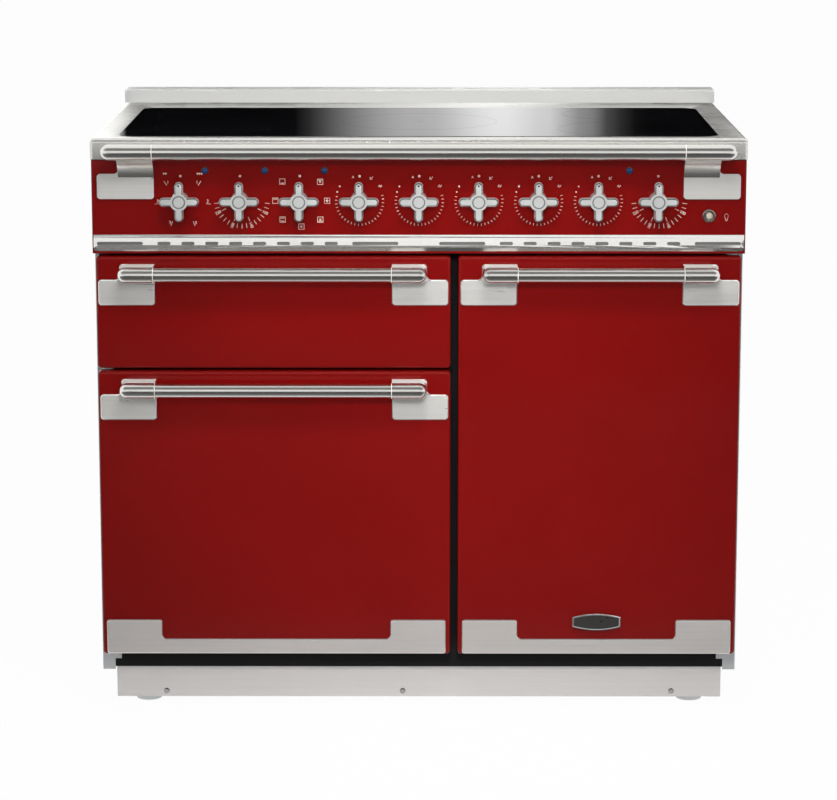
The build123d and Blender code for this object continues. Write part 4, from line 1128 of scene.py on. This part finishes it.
@dataclass
class Knobs:
    """Nine cross knobs: their finish, the dot on the upper arm, painted shade on the sides and in the hub's
    groove.
    """

    looks: Looks
    names: tuple[str, ...] = (
        "knob_grill",
        "knob_left_oven_temperature",
        "knob_left_oven_function",
        "knob_zone_1",
        "knob_zone_2",
        "knob_zone_3",
        "knob_zone_4",
        "knob_zone_5",
        "knob_right_oven_temperature",
    )
    pitch: float = 90.4
    height: float = 811.0
    before_panel: float = -600.0
    edges: SoftEdges = SoftEdges(0.45)
    dot_lift: float = 25.0
    dot_profile: tuple[tuple[float, float], ...] = ((0.0, 0.12), (1.28, 0.12), (1.6, 0.0), (1.6, -0.3))
    groove_radii: tuple[float, float] = (8.0, 9.8)
    groove_depth: float = 0.7
    groove_y: float = -309.4

    def place_x(self, number: int) -> float:
        """Give the X of a knob's axis."""
        return (number - len(self.names) // 2) * self.pitch

    def build(self) -> None:
        """Dress each knob, paint shade on its sides and in its groove, and put its dot on the arm's own
        surface.
        """
        for number, name in enumerate(self.names):
            tree = BVHTree.FromObject(frame["nodes"][name], bpy.context.evaluated_depsgraph_get())
            x, z = self.place_x(number), self.height + self.dot_lift
            start = Vector((x, self.before_panel, z)) * MM
            arm_y = tree.ray_cast(start, Vector((0, 1, 0)))[0].y / MM
            mesh = self.edges.build(name, self.looks["knob"], "satin_silver")
            # The knob's bevelled sides take the darker finish as painted shade.
            paint_flank_light_and_shade(mesh, self.looks["knob_flank_painted_shade"])
            dot = Surface()
            dot.add_turned(self.dot_profile, (x, arm_y, z), segments=20)
            dot.build(name + "_dot", self.looks["black_ink"], name, "black_plastic")
            # A dark ring at the bottom of the groove is painted shade.
            inner, outer = self.groove_radii
            profile = [[inner, 0.0], [inner, self.groove_depth], [outer, self.groove_depth], [outer, 0.0]]
            groove = Surface()
            groove.add_turned([*profile, profile[0]], (x, self.groove_y, self.height), segments=48)
            groove.build(name + "_groove", self.looks["groove"], name, "black_plastic")


@dataclass
class DialPrints:
    """Cream prints round the knobs, the oven symbols and the light's symbol, just in front of the panel.

    Places are in X and Z, in millimetres from the knob's axis, and those of the bulb's lines from its place.
    """

    looks: Looks
    knobs: Knobs
    depth: float = -281.12
    line: float = 0.58
    zero_place: tuple[float, float] = (0.8, 36.6)
    zero_size: tuple[float, float] = (1.25, 1.0)

    grill_middle: float = 3.8
    grill_steps: tuple[tuple, ...] = (
        ("1", (22.0, 27.4), (23.8, 22.6), (28.0, 28.9)),
        ("2", (38.0, -1.2), (35.7, -5.4), (42.5, -6.1)),
        ("3", (19.6, -34.3), (15.6, -32.4), (18.4, -39.5)),
    )
    grill_figure: float = 4.4
    triangles: tuple[tuple[int, float], ...] = ((2, -22.7), (3, 30.0))
    triangle_height: float = 39.8
    triangle_pitch: float = 3.2
    triangle_size: float = 2.9

    heat_centre: tuple[float, float] = (3.0, -0.8)
    heat_start: float = -6.0
    heat_step: float = 10.5
    heat_ticks: int = 17
    heat_numbered: tuple[int, ...] = (2, 6, 10, 14)
    heat_short: tuple[float, float] = (27.0, 33.5)
    heat_long: tuple[float, float] = (35.2, 42.4)
    heat_figures: tuple[float, float] = (40.3, 4.3)
    heat_scale: tuple[int, int] = (80, 10)

    symbol_places: tuple[tuple[float, float], ...] = (
        (-25.7, 28.3),
        (-36.5, -0.9),
        (-25.7, -29.7),
        (2.7, -40.4),
        (31.5, -29.7),
        (41.9, -0.9),
        (31.5, 28.0),
    )
    symbol_half: float = 4.1
    symbol_line: float = 0.62
    symbols_with_low_bar: tuple[int, ...] = (0, 2, 4)
    symbols_with_high_bar: tuple[int, ...] = (1, 2, 6)
    symbols_with_fan: tuple[int, ...] = (3, 4, 5, 6)
    symbols_with_cross: tuple[int, ...] = (5,)
    bar_half: float = 2.7
    bar_height: float = 2.4
    bar_line: float = 0.9
    blade: float = 1.9
    blade_line: float = 0.8
    cross_half: float = 4.0
    cross_line: float = 0.5

    zone_centre: tuple[float, float] = (0.8, -2.0)
    zone_ticks: int = 24
    zone_start: float = 15.0
    zone_step: float = 9.0
    zone_radii: tuple[float, float] = (33.8, 37.2)
    zone_tick_line: float = 0.6
    zone_dots: tuple[tuple, ...] = ((-33.0, 12.6, 1.1), (-29.2, 21.0, 1.2), (20.5, 35.0, 0.7))
    zone_letter: tuple[float, float] = (-9.0, 35.2)
    zone_letter_height: float = 3.6
    zone_hook: tuple[tuple[float, float], ...] = ((17.0, 31.5), (17.0, 35.0), (19.5, 31.5))
    zone_hook_line: float = 0.7
    zone_strokes: tuple[tuple, ...] = (
        ((29.5, 20.5), (31.5, 23.5), 0.8),
        ((32.5, 20.0), (34.5, 23.0), 0.8),
        ((31.0, 20.5), (32.5, 20.0), 0.7),
    )

    bulb_place: tuple[float, float] = (466.5, 785.5)
    bulb_line: float = 0.55
    bulb_arc: tuple[float, float, int] = (-50.0, 230.0, 18)
    bulb_radii: tuple[float, float] = (2.7, 3.4)
    bulb_lift: float = 1.4
    bulb_foot: tuple[tuple[float, float], ...] = ((-1.4, -4.6), (1.4, -4.6))
    bulb_cap: tuple[tuple[float, float], ...] = ((-1.0, -5.8), (1.0, -5.8))

    def build(self) -> None:
        """Draw every dial on one sheet of ink."""
        ink = InkSheet(depth=self.depth)
        zones = [self.zone_dial] * 5
        dials = [self.grill_dial, self.heat_dial, self.function_dial, *zones, self.heat_dial]
        for number, dial in enumerate(dials):
            axis = np.array([self.knobs.place_x(number), self.knobs.height])
            ink.ring(axis + self.zero_place, *self.zero_size)
            dial(ink, axis)
        self.light_symbol(ink)
        ink.build("dial_prints", self.looks["cream_ink"], "chassis", "cream_plastic", closed=False)

    def grill_dial(self, ink: InkSheet, axis: Array) -> None:
        """Draw settings 1 to 3 on both sides, each a figure beside its tick, and triangles above.

        Args:
            ink: the sheet.
            axis: X and Z of the knob's axis.
        """
        for side in (-1, 1):
            for figure, *places in self.grill_steps:
                beside, inner, outer = (axis + (self.grill_middle + side * x, z) for x, z in places)
                ink.stroke(inner, outer, self.line)
                ink.write(figure, beside, self.grill_figure)
        half = self.triangle_size / 2
        shape = np.array([[-half, half], [0.0, -half], [half, half]])
        for count, middle in self.triangles:
            for k in range(count):
                x = middle + (k - (count - 1) / 2) * self.triangle_pitch
                ink.flat(shape + axis + (x, self.triangle_height), [[0, 1, 2]])

    def heat_dial(self, ink: InkSheet, axis: Array) -> None:
        """Draw ticks round the lower half of a temperature knob, with every fourth one short and numbered.

        Args:
            ink: the sheet.
            axis: X and Z of the knob's axis.
        """
        centre = axis + self.heat_centre
        away, height = self.heat_figures
        lowest, degrees_a_tick = self.heat_scale
        for k in range(self.heat_ticks):
            turn = self.heat_start - self.heat_step * k
            unit = circle(math.radians(turn))
            numbered = k in self.heat_numbered
            inner, outer = self.heat_short if numbered else self.heat_long
            ink.stroke(centre + unit * inner, centre + unit * outer, self.line)
            if numbered:
                upright = turn if k < self.heat_ticks // 2 else turn + 180
                ink.write(str(lowest + degrees_a_tick * k), centre + unit * away, height, upright)

    def function_dial(self, ink: InkSheet, axis: Array) -> None:
        """Draw seven small oven symbols, an outline square with bars, a fan or a cross inside.

        Args:
            ink: the sheet.
            axis: X and Z of the knob's axis.
        """
        square = np.array([[-1, -1], [1, -1], [1, 1], [-1, 1]]) * self.symbol_half
        for kind, place in enumerate(self.symbol_places):
            middle = axis + place
            ink.path(square + middle, self.symbol_line, closed=True)
            for kinds, side in ((self.symbols_with_low_bar, -1), (self.symbols_with_high_bar, 1)):
                if kind in kinds:
                    z = side * self.bar_height
                    ink.stroke(middle + (-self.bar_half, z), middle + (self.bar_half, z), self.bar_line)
            if kind in self.symbols_with_fan:
                for angle in (45, 135, 225, 315):
                    ink.stroke(middle, middle + self.blade * circle(math.radians(angle)), self.blade_line)
            if kind in self.symbols_with_cross:
                for arm in ((self.cross_half, 0.0), (0.0, self.cross_half)):
                    ink.stroke(middle - arm, middle + arm, self.cross_line)

    def zone_dial(self, ink: InkSheet, axis: Array) -> None:
        """Draw a zone's ring of short ticks, its letter and its small signs.

        Args:
            ink: the sheet.
            axis: X and Z of the knob's axis.
        """
        centre = axis + self.zone_centre
        inner, outer = self.zone_radii
        for k in range(self.zone_ticks):
            unit = circle(math.radians(self.zone_start - k * self.zone_step))
            ink.stroke(centre + unit * inner, centre + unit * outer, self.zone_tick_line)
        for x, z, radius in self.zone_dots:
            ink.disc(axis + (x, z), radius)
        ink.write("A", axis + self.zone_letter, self.zone_letter_height)
        ink.path(axis + self.zone_hook, self.zone_hook_line)
        for start, end, width in self.zone_strokes:
            ink.stroke(axis + start, axis + end, width)

    def light_symbol(self, ink: InkSheet) -> None:
        """Draw a bulb: an elliptic arc that narrows to its foot, with a stroke below for its cap.

        Args:
            ink: the sheet.
        """
        globe = circle(np.radians(np.linspace(*self.bulb_arc))) * self.bulb_radii + (0.0, self.bulb_lift)
        ink.path(np.concatenate([globe, self.bulb_foot]) + self.bulb_place, self.bulb_line, closed=True)
        left, right = np.array(self.bulb_cap) + self.bulb_place
        ink.stroke(left, right, self.bulb_line)


@dataclass
class IndicatorLamps:
    """The blue domes over the lenses of the four indicator lamps, whose chrome rings are the CAD node's."""

    looks: Looks
    places: tuple[float, ...] = (-323.5, -233.1, -142.7, 318.7)
    height: float = 856.0
    panel: float = -281.0
    radius: float = 4.75
    foot: float = 0.4
    skirt: float = 1.9
    rise: float = 2.9

    def build(self) -> None:
        """Turn one dome for each lamp, with a skirt that goes into the ring."""
        profile = dome_profile(self.radius, self.rise, self.skirt, self.foot, steps=12)
        lenses = Surface()
        for x in self.places:
            lenses.add_turned(profile, (x, self.panel, self.height), segments=32)
        lenses.build("lamp_lenses", self.looks["lens"], "chassis", "lamp_blue")


@dataclass
class LightSwitch:
    """The light's push button: a steel ring over its bezel and a domed cap on the button."""

    looks: Looks
    place_x: float = 440.0
    height: float = 787.6
    bezel_front: float = -283.5
    crest_middle: float = 8.05
    crest_half: float = 1.95
    crest_rise: float = 1.1
    crest_foot: float = -0.6
    crest_steps: int = 13
    cap_front: float = -287.5
    cap_radius: float = 5.2
    cap_rise: float = 1.3
    cap_foot: float = -0.2

    def build(self) -> None:
        """Turn the ring with a rounded crest and the cap as a low dome."""
        crest = circle(np.linspace(0, np.pi, self.crest_steps)) * (self.crest_half, self.crest_rise)
        crest += (self.crest_middle, 0)
        outer, inner = self.crest_middle + self.crest_half, self.crest_middle - self.crest_half
        outer_foot, inner_foot = [outer, self.crest_foot], [inner, self.crest_foot]
        ring = Surface()
        profile = np.concatenate([[outer_foot], crest, [inner_foot, outer_foot]])
        ring.add_turned(profile, (self.place_x, self.bezel_front, self.height), segments=48)
        ring.build("light_bezel", self.looks["bezel"], "chassis", "grey_steel")
        profile = dome_profile(self.cap_radius, self.cap_rise, 0.0, self.cap_foot, steps=10)
        cap = Surface()
        cap.add_turned(profile, (self.place_x, self.cap_front, self.height), segments=32)
        cap.build("light_cap", self.looks["cream_plastic"], "light_switch_button", "cream_plastic")


@dataclass
class Badge:
    """The blank badge: a bright barrel-shaped rim round a dark field."""

    looks: Looks
    centre: tuple[float, float] = (276.0, 151.6)
    width: float = 75.0
    height: float = 27.0
    end_height: float = 16.0
    arc_steps: int = 33
    back: float = -284.0
    front: float = -287.0
    rim: tuple[tuple[float, float], ...] = ((0.0, 0.9), (0.7, 0.0), (1.9, 0.1), (2.5, 0.7))
    field_layers: tuple[tuple[float, float], ...] = ((2.55, 0.72), (2.7, 0.55))

    def outline(self) -> Array:
        """Give the barrel outline, counter-clockwise seen from the front.

        Formula: the long sides are arcs, half height = end + (middle - end) * (1 - (2 s)^2) for s along the
        width, and the ends are straight.

        Returns:
            Points in X and Z.
        """
        s = np.linspace(-0.5, 0.5, self.arc_steps)
        half = self.end_height / 2 + (self.height - self.end_height) / 2 * (1 - (2 * s) ** 2)
        x = self.centre[0] + s * self.width
        low = np.stack([x, self.centre[1] - half], -1)
        high = np.stack([x[::-1], self.centre[1] + half[::-1]], -1)
        return np.concatenate([low, high])

    def build(self) -> None:
        """Stack the rim's outlines from the door outwards and sink the field in it."""
        out = self.outline()
        rim = Surface()
        layers = [inset_outline(out, amount) for amount, _ in self.rim]
        rim.add_stack([out, *layers], [self.back, *(self.front + depth for _, depth in self.rim)])
        piece = rim.build("badge_rim", self.looks["chrome"], "right_door", "bright_steel")
        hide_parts("badge_plate")
        plate = Surface()
        layers = [inset_outline(out, amount) for amount, _ in self.field_layers]
        plate.add_stack(layers, [self.front + depth for _, depth in self.field_layers])
        plate.build("badge_field", self.looks["badge_field"], "right_door", "black_plastic")


@dataclass
class JointRings:
    """Bright rings where each bar meets its bracket."""

    looks: Looks
    radius: float = 12.0
    crest: float = 0.5
    wall: float = 1.6
    half_width: float = 0.9
    crest_steps: int = 9

    def build(self) -> None:
        """Turn a ring with a rounded crest at both ends of each bar."""
        t = np.linspace(0, np.pi, self.crest_steps)
        top = np.stack([self.radius - self.crest + self.crest * np.sin(t), -self.half_width * np.cos(t)], -1)
        inner = self.radius - self.wall
        low, high = [inner, -self.half_width], [inner, self.half_width]
        profile = np.concatenate([[low], top, [high, low]])
        for bar in BARS:
            rings = Surface()
            for x in (bar.left, bar.right):
                rings.add_turned(profile, (x, BAR_Y, bar.height), segments=56, axis=Axis.X, sign=1.0)
            name = bar.node.removeprefix("hob_") + "_rings"
            rings.build(name, self.looks["ring"], bar.body, "bright_steel")


@dataclass
class ZoneMarks:
    """Thin grey rings on the glass round the coils, with a small cross in each."""

    looks: Looks
    level: float = 905.65
    beyond_coil: tuple[float, float] = (12.0, 13.0)
    cross_arm: float = 7.0
    cross_half_width: float = 0.5
    steps: int = 96

    def build(self) -> None:
        """Draw the rings and crosses flat on the glass."""
        marks = Surface()
        unit = circle(np.linspace(0, 2 * np.pi, self.steps, endpoint=False))
        arm, thin = self.cross_arm, self.cross_half_width
        corners = np.array([[-1, -1], [1, -1], [1, 1], [-1, 1]])
        for centre, radius in zip(COIL_CENTRES, COIL_RADII):
            middle = np.array([*centre, self.level])
            both = np.stack([unit * (radius + beyond) for beyond in self.beyond_coil])
            marks.add_points(self.flat(both) + middle, grid_faces(2, self.steps, wrapped=True).tolist())
            for half in ((arm, thin), (thin, arm)):
                marks.add_points(self.flat(corners * half) + middle, [[0, 1, 2, 3]])
        marks.build("zone_marks", self.looks["grey_ink"], "chassis", "black_plastic", closed=False)

    def flat(self, points: Array) -> Array:
        """Give points in X and Y a Z of 0."""
        return np.concatenate([points, np.zeros((*points.shape[:-1], 1))], axis=-1)


@dataclass(frozen=True)
class SlotShadeStrip:
    """A thin grey strip behind or under a row of slots, as painted shade that shows through them.

    It reaches half_width to both sides, and from low to high, and its two faces are at back and front.
    """

    name: str
    half_width: float
    low: float
    high: float
    back: float
    front: float
    corner: float
    steps: int

    def build(self, looks: Looks) -> None:
        """Stack two equal outlines into a thin strip.

        Args:
            looks: every finish.
        """
        left, right = -self.half_width, self.half_width
        box = np.array([[left, self.low], [right, self.low], [right, self.high], [left, self.high]])
        outline = rounded_outline(box, self.corner, self.steps)
        strip = Surface()
        strip.add_stack([outline, outline], [self.back, self.front])
        strip.build(self.name, looks["slot_shade"], "chassis", "grey_steel")


# Painted shade behind the vent trim's slots and under the upstand's slots.
SLOT_SHADE_STRIPS = (
    SlotShadeStrip("vent_slot_painted_shade", 489.5, low=740.4, high=749.2, back=-279.1, front=-279.6, corner=1.0, steps=4),
    SlotShadeStrip("upstand_slot_painted_shade", 494.0, low=922.6, high=923.2, back=314.0, front=284.0, corner=0.1, steps=2),
)


@dataclass
class BackScrews:
    """Round-headed screws along the back panel's edges."""

    looks: Looks
    face: float = 322.0
    radius: float = 4.0
    rim: float = 0.2
    rise: float = 1.6
    side_x: float = 484.0
    side_heights: tuple[float, ...] = (110.0, 290.0, 480.0, 670.0, 850.0)
    row_x: tuple[float, ...] = (-320.0, -160.0, 0.0, 160.0, 320.0)
    row_heights: tuple[float, float] = (102.0, 862.0)

    def build(self) -> None:
        """Turn each head as a low dome."""
        profile = dome_profile(self.radius, self.rise, self.rim, 0.0, steps=7)
        screws = Surface()
        places = [(x, z) for x in (-self.side_x, self.side_x) for z in self.side_heights]
        places += [(x, z) for x in self.row_x for z in self.row_heights]
        for x, z in places:
            screws.add_turned(profile, (x, self.face, z), segments=20, sign=1.0)
        screws.build("back_screws", self.looks["zinc"], "chassis", "grey_steel")


# Studio


WHITE = (1.0, 1.0, 1.0, 1.0)


@dataclass(frozen=True)
class FloorPaper(Finish):
    """Pale matt paper that shines white where the camera or a reflection sees it, with a faint shadow."""

    white_share: float = 0.97
    specular: float = 0.1

    def apply(self, paint: Paint) -> None:
        """Mix the paper with a white glow by the share for direct sight."""
        paint.feed({"Specular IOR Level": self.specular})
        glow = paint.add("Emission", {"Color": WHITE, "Strength": 1.0})
        share = paint.math("MULTIPLY", paint.seen_by("Is Camera Ray", "Is Glossy Ray"), self.white_share)
        both = paint.add("MixShader", {0: share, 1: paint.shader.outputs[0], 2: glow.outputs[0]})
        paint.fill(paint.find("OUTPUT_MATERIAL").inputs, {0: both.outputs[0]})


@dataclass(frozen=True)
class Card:
    """A flat card that only reflections see, whose brightness follows one coordinate through stops.

    It lies between two opposite corners in metres. A stop is a coordinate in metres and a brightness, and
    the stops are in rising order.
    """

    name: str
    low: tuple[float, float, float]
    high: tuple[float, float, float]
    axis: Axis
    stops: tuple[tuple[float, float], ...]
    strength: float = 1.0

    def material(self) -> Material:
        """Make the card's glow: a ramp through the stops along the axis.

        Returns:
            The material.
        """
        material = bpy.data.materials.new(self.name.replace("_", " "))
        material.use_nodes = True
        nodes = Nodes(material.node_tree)
        nodes.tree.nodes.clear()
        at = nodes.add("SeparateXYZ", {0: nodes.add("TexCoord").outputs["Object"]}).outputs[self.axis.value]
        start, end = self.stops[0][0], self.stops[-1][0]
        ramp = nodes.add("ValToRGB", {"Fac": nodes.widen(at, start, end)})
        ramp.color_ramp.interpolation = "EASE"
        while len(ramp.color_ramp.elements) < len(self.stops):
            ramp.color_ramp.elements.new(0.5)
        for element, (coordinate, value) in zip(ramp.color_ramp.elements, self.stops):
            element.position = (coordinate - start) / (end - start)
            element.color = (value, value, value, 1.0)
        glow = nodes.add("Emission", {"Color": ramp.outputs["Color"], "Strength": self.strength})
        nodes.add("OutputMaterial", {0: glow.outputs[0]})
        return material

    def hang(self) -> None:
        """Hang the card where only reflections see it."""
        corners = [self.low, (self.high[0], *self.low[1:]), self.high, (self.low[0], *self.high[1:])]
        mesh = bpy.data.meshes.new(self.name)
        mesh.from_pydata(corners, [], [[0, 1, 2, 3]])
        set_finish(mesh, self.material())
        card = show(self.name, mesh)
        card.visible_camera = False
        card.visible_diffuse = False
        card.visible_shadow = False
        card.visible_transmission = False


CARDS = (
    Card(
        "hob_card",
        (-5.0, 3.5, 0.8),
        (5.0, 3.5, 2.0),
        Axis.X,
        (
            (-5.0, 1.0),
            (-0.85, 1.0),
            (-0.82, 0.0),
            (-0.36, 0.0),
            (0.0, 0.5),
            (0.22, 0.92),
            (0.34, 0.72),
            (0.44, 0.3),
            (0.53, 0.03),
            (0.6, 0.0),
            (5.0, 0.0),
        ),
        strength=1.5,
    ),
    Card(
        "front_card",
        (-9.0, -8.0, -0.3),
        (9.0, -8.0, 5.4),
        Axis.Z,
        ((-0.3, 0.04), (0.3, 0.04), (0.9, 0.95), (4.4, 0.95), (5.2, 0.22), (5.4, 0.2)),
    ),
    Card(
        "floor_card",
        (-4.0, -8.0, 0.002),
        (4.0, -0.42, 0.002),
        Axis.Y,
        ((-8.0, 0.02), (-3.4, 0.03), (-2.4, 0.12), (-1.5, 0.09), (-0.85, 0.11), (-0.55, 0.3), (-0.42, 0.4)),
    ),
    Card(
        "ceiling_card",
        (-9.0, -8.0, 5.4),
        (9.0, -1.5, 5.4),
        Axis.Y,
        ((-8.0, 0.2), (-2.3, 0.2), (-1.7, 0.9), (-1.5, 1.0)),
    ),
)


@dataclass(frozen=True)
class StudioLamp:
    """A lamp that reflections don't show: its place in metres, the point it faces and its power in watts."""

    name: str
    place: tuple[float, float, float]
    aim: tuple[float, float, float]
    power: float

    def light(self) -> bpy.types.Light:
        """Make the light itself."""
        raise NotImplementedError

    def hang(self) -> None:
        """Hang the lamp and aim it."""
        data = self.light()
        data.energy = self.power
        lamp = show(self.name, data)
        lamp.location = self.place
        lamp.rotation_euler = (Vector(self.aim) - Vector(self.place)).to_track_quat("-Z", "Y").to_euler()
        lamp.visible_glossy = False


@dataclass(frozen=True)
class PanelLamp(StudioLamp):
    """A soft rectangular lamp, with its width and height in metres."""

    width: float
    height: float

    def light(self) -> bpy.types.Light:
        """Make a rectangle that shines."""
        data = bpy.data.lights.new(self.name, "AREA")
        data.shape, data.size, data.size_y = "RECTANGLE", self.width, self.height
        return data


@dataclass(frozen=True)
class SpotLamp(StudioLamp):
    """A lamp whose light fades from the middle of its cone to the edge, with the cone's angle in degrees."""

    cone: float
    radius: float = 0.25

    def light(self) -> bpy.types.Light:
        """Make a cone of light."""
        data = bpy.data.lights.new(self.name, "SPOT")
        data.spot_size, data.spot_blend, data.shadow_soft_size = math.radians(self.cone), 1.0, self.radius
        return data


LAMPS = (
    PanelLamp("key_lamp", (0.1, -1.7, 2.5), (0.05, -0.3, 0.6), 34.0, 0.8, 0.5),
    SpotLamp("middle_spot", (0.05, -3.0, 1.7), (0.05, -0.28, 0.5), 290.0, 27.0),
    PanelLamp("left_lamp", (-2.2, -3.0, 1.9), (0.0, 0.0, 0.5), 9.0, 1.6, 1.6),
    PanelLamp("right_lamp", (2.4, -3.0, 1.9), (0.0, 0.0, 0.5), 11.0, 1.6, 1.6),
    PanelLamp("top_lamp", (0.1, 0.1, 3.0), (0.1, 0.0, 0.9), 17.0, 2.4, 1.4),
    PanelLamp("low_lamp", (0.0, -3.6, 0.8), (0.0, 0.0, 0.4), 8.0, 2.6, 0.7),
)


@dataclass
class Studio:
    """Pale floor, soft lamps, white surroundings and the cards that shape the reflections.

    The camera has the photograph's viewpoint. It is tilted down rather than strongly shifted, so that other
    views stay framed. The lens and the film are in millimetres, places in metres and angles in radians.
    """

    floor_half: float = 40.0
    floor_paper: FloorPaper = FloorPaper("floor", (0.86, 0.86, 0.86), 0.9)
    daylight: float = 0.26
    film_width: float = 36.0
    lens: float = 129.853
    shift: float = -0.04
    view_reach: float = 100.0
    camera_place: tuple[float, float, float] = (0.01258, -4.82384, 1.40125)
    camera_down: float = 0.18425
    camera_turn: float = 0.00285
    unmirrored: tuple[str, ...] = ("rear_upstand_soft", "upstand_slot_painted_shade")

    def world(self) -> None:
        """White for the camera, reflections and glass, softer for the light that falls on the cooker."""
        world = bpy.data.worlds.new("studio")
        bpy.context.scene.world = world
        world.use_nodes = True
        nodes = Nodes(world.node_tree)
        nodes.tree.nodes.clear()
        seen = nodes.seen_by("Is Camera Ray", "Is Glossy Ray", "Is Transmission Ray")
        glow = nodes.add("Background", {"Color": WHITE, "Strength": nodes.spread(seen, self.daylight, 1.0)})
        nodes.add("OutputWorld", {0: glow.outputs[0]})

    def floor(self) -> None:
        """Lay the pale floor, which turns white towards the camera but keeps the cooker's shadow."""
        half = self.floor_half
        mesh = bpy.data.meshes.new("floor")
        corners = [(-half, -half, 0.0), (half, -half, 0.0), (half, half, 0.0), (-half, half, 0.0)]
        mesh.from_pydata(corners, [], [[0, 1, 2, 3]])
        set_finish(mesh, self.floor_paper.build())
        floor = show("floor", mesh)

    def camera(self) -> None:
        """Set up the camera."""
        data = bpy.data.cameras.new("camera")
        data.sensor_width, data.lens, data.shift_y = self.film_width, self.lens, self.shift
        data.clip_end = self.view_reach
        camera = show("camera", data)
        camera.location = self.camera_place
        camera.rotation_euler = (math.pi / 2 - self.camera_down, 0.0, self.camera_turn)
        bpy.context.scene.camera = camera

    def build(self) -> None:
        """Set up the whole studio, with the upstand kept out of the glass as in the photograph."""
        bpy.context.scene.view_settings.view_transform = "Standard"
        self.world()
        self.floor()
        for item in (*CARDS, *LAMPS):
            item.hang()
        for name in self.unmirrored:
            bpy.data.objects[name].visible_glossy = False
        self.camera()


def main() -> None:
    """Build every sub-assembly in order, then the studio."""
    logging.basicConfig(level=logging.INFO, format="%(name)s %(message)s")
    looks = {key: finish.build() for key, finish in FINISHES.items()}
    CookerBody(looks).dress()
    knobs = Knobs(looks)
    knobs.build()
    DialPrints(looks, knobs).build()
    IndicatorLamps(looks).build()
    LightSwitch(looks).build()
    Badge(looks).build()
    JointRings(looks).build()
    ZoneMarks(looks).build()
    for shade_strip in SLOT_SHADE_STRIPS:
        shade_strip.build(looks)
    BackScrews(looks).build()
    Studio().build()


if __name__ == "__main__":
    main()
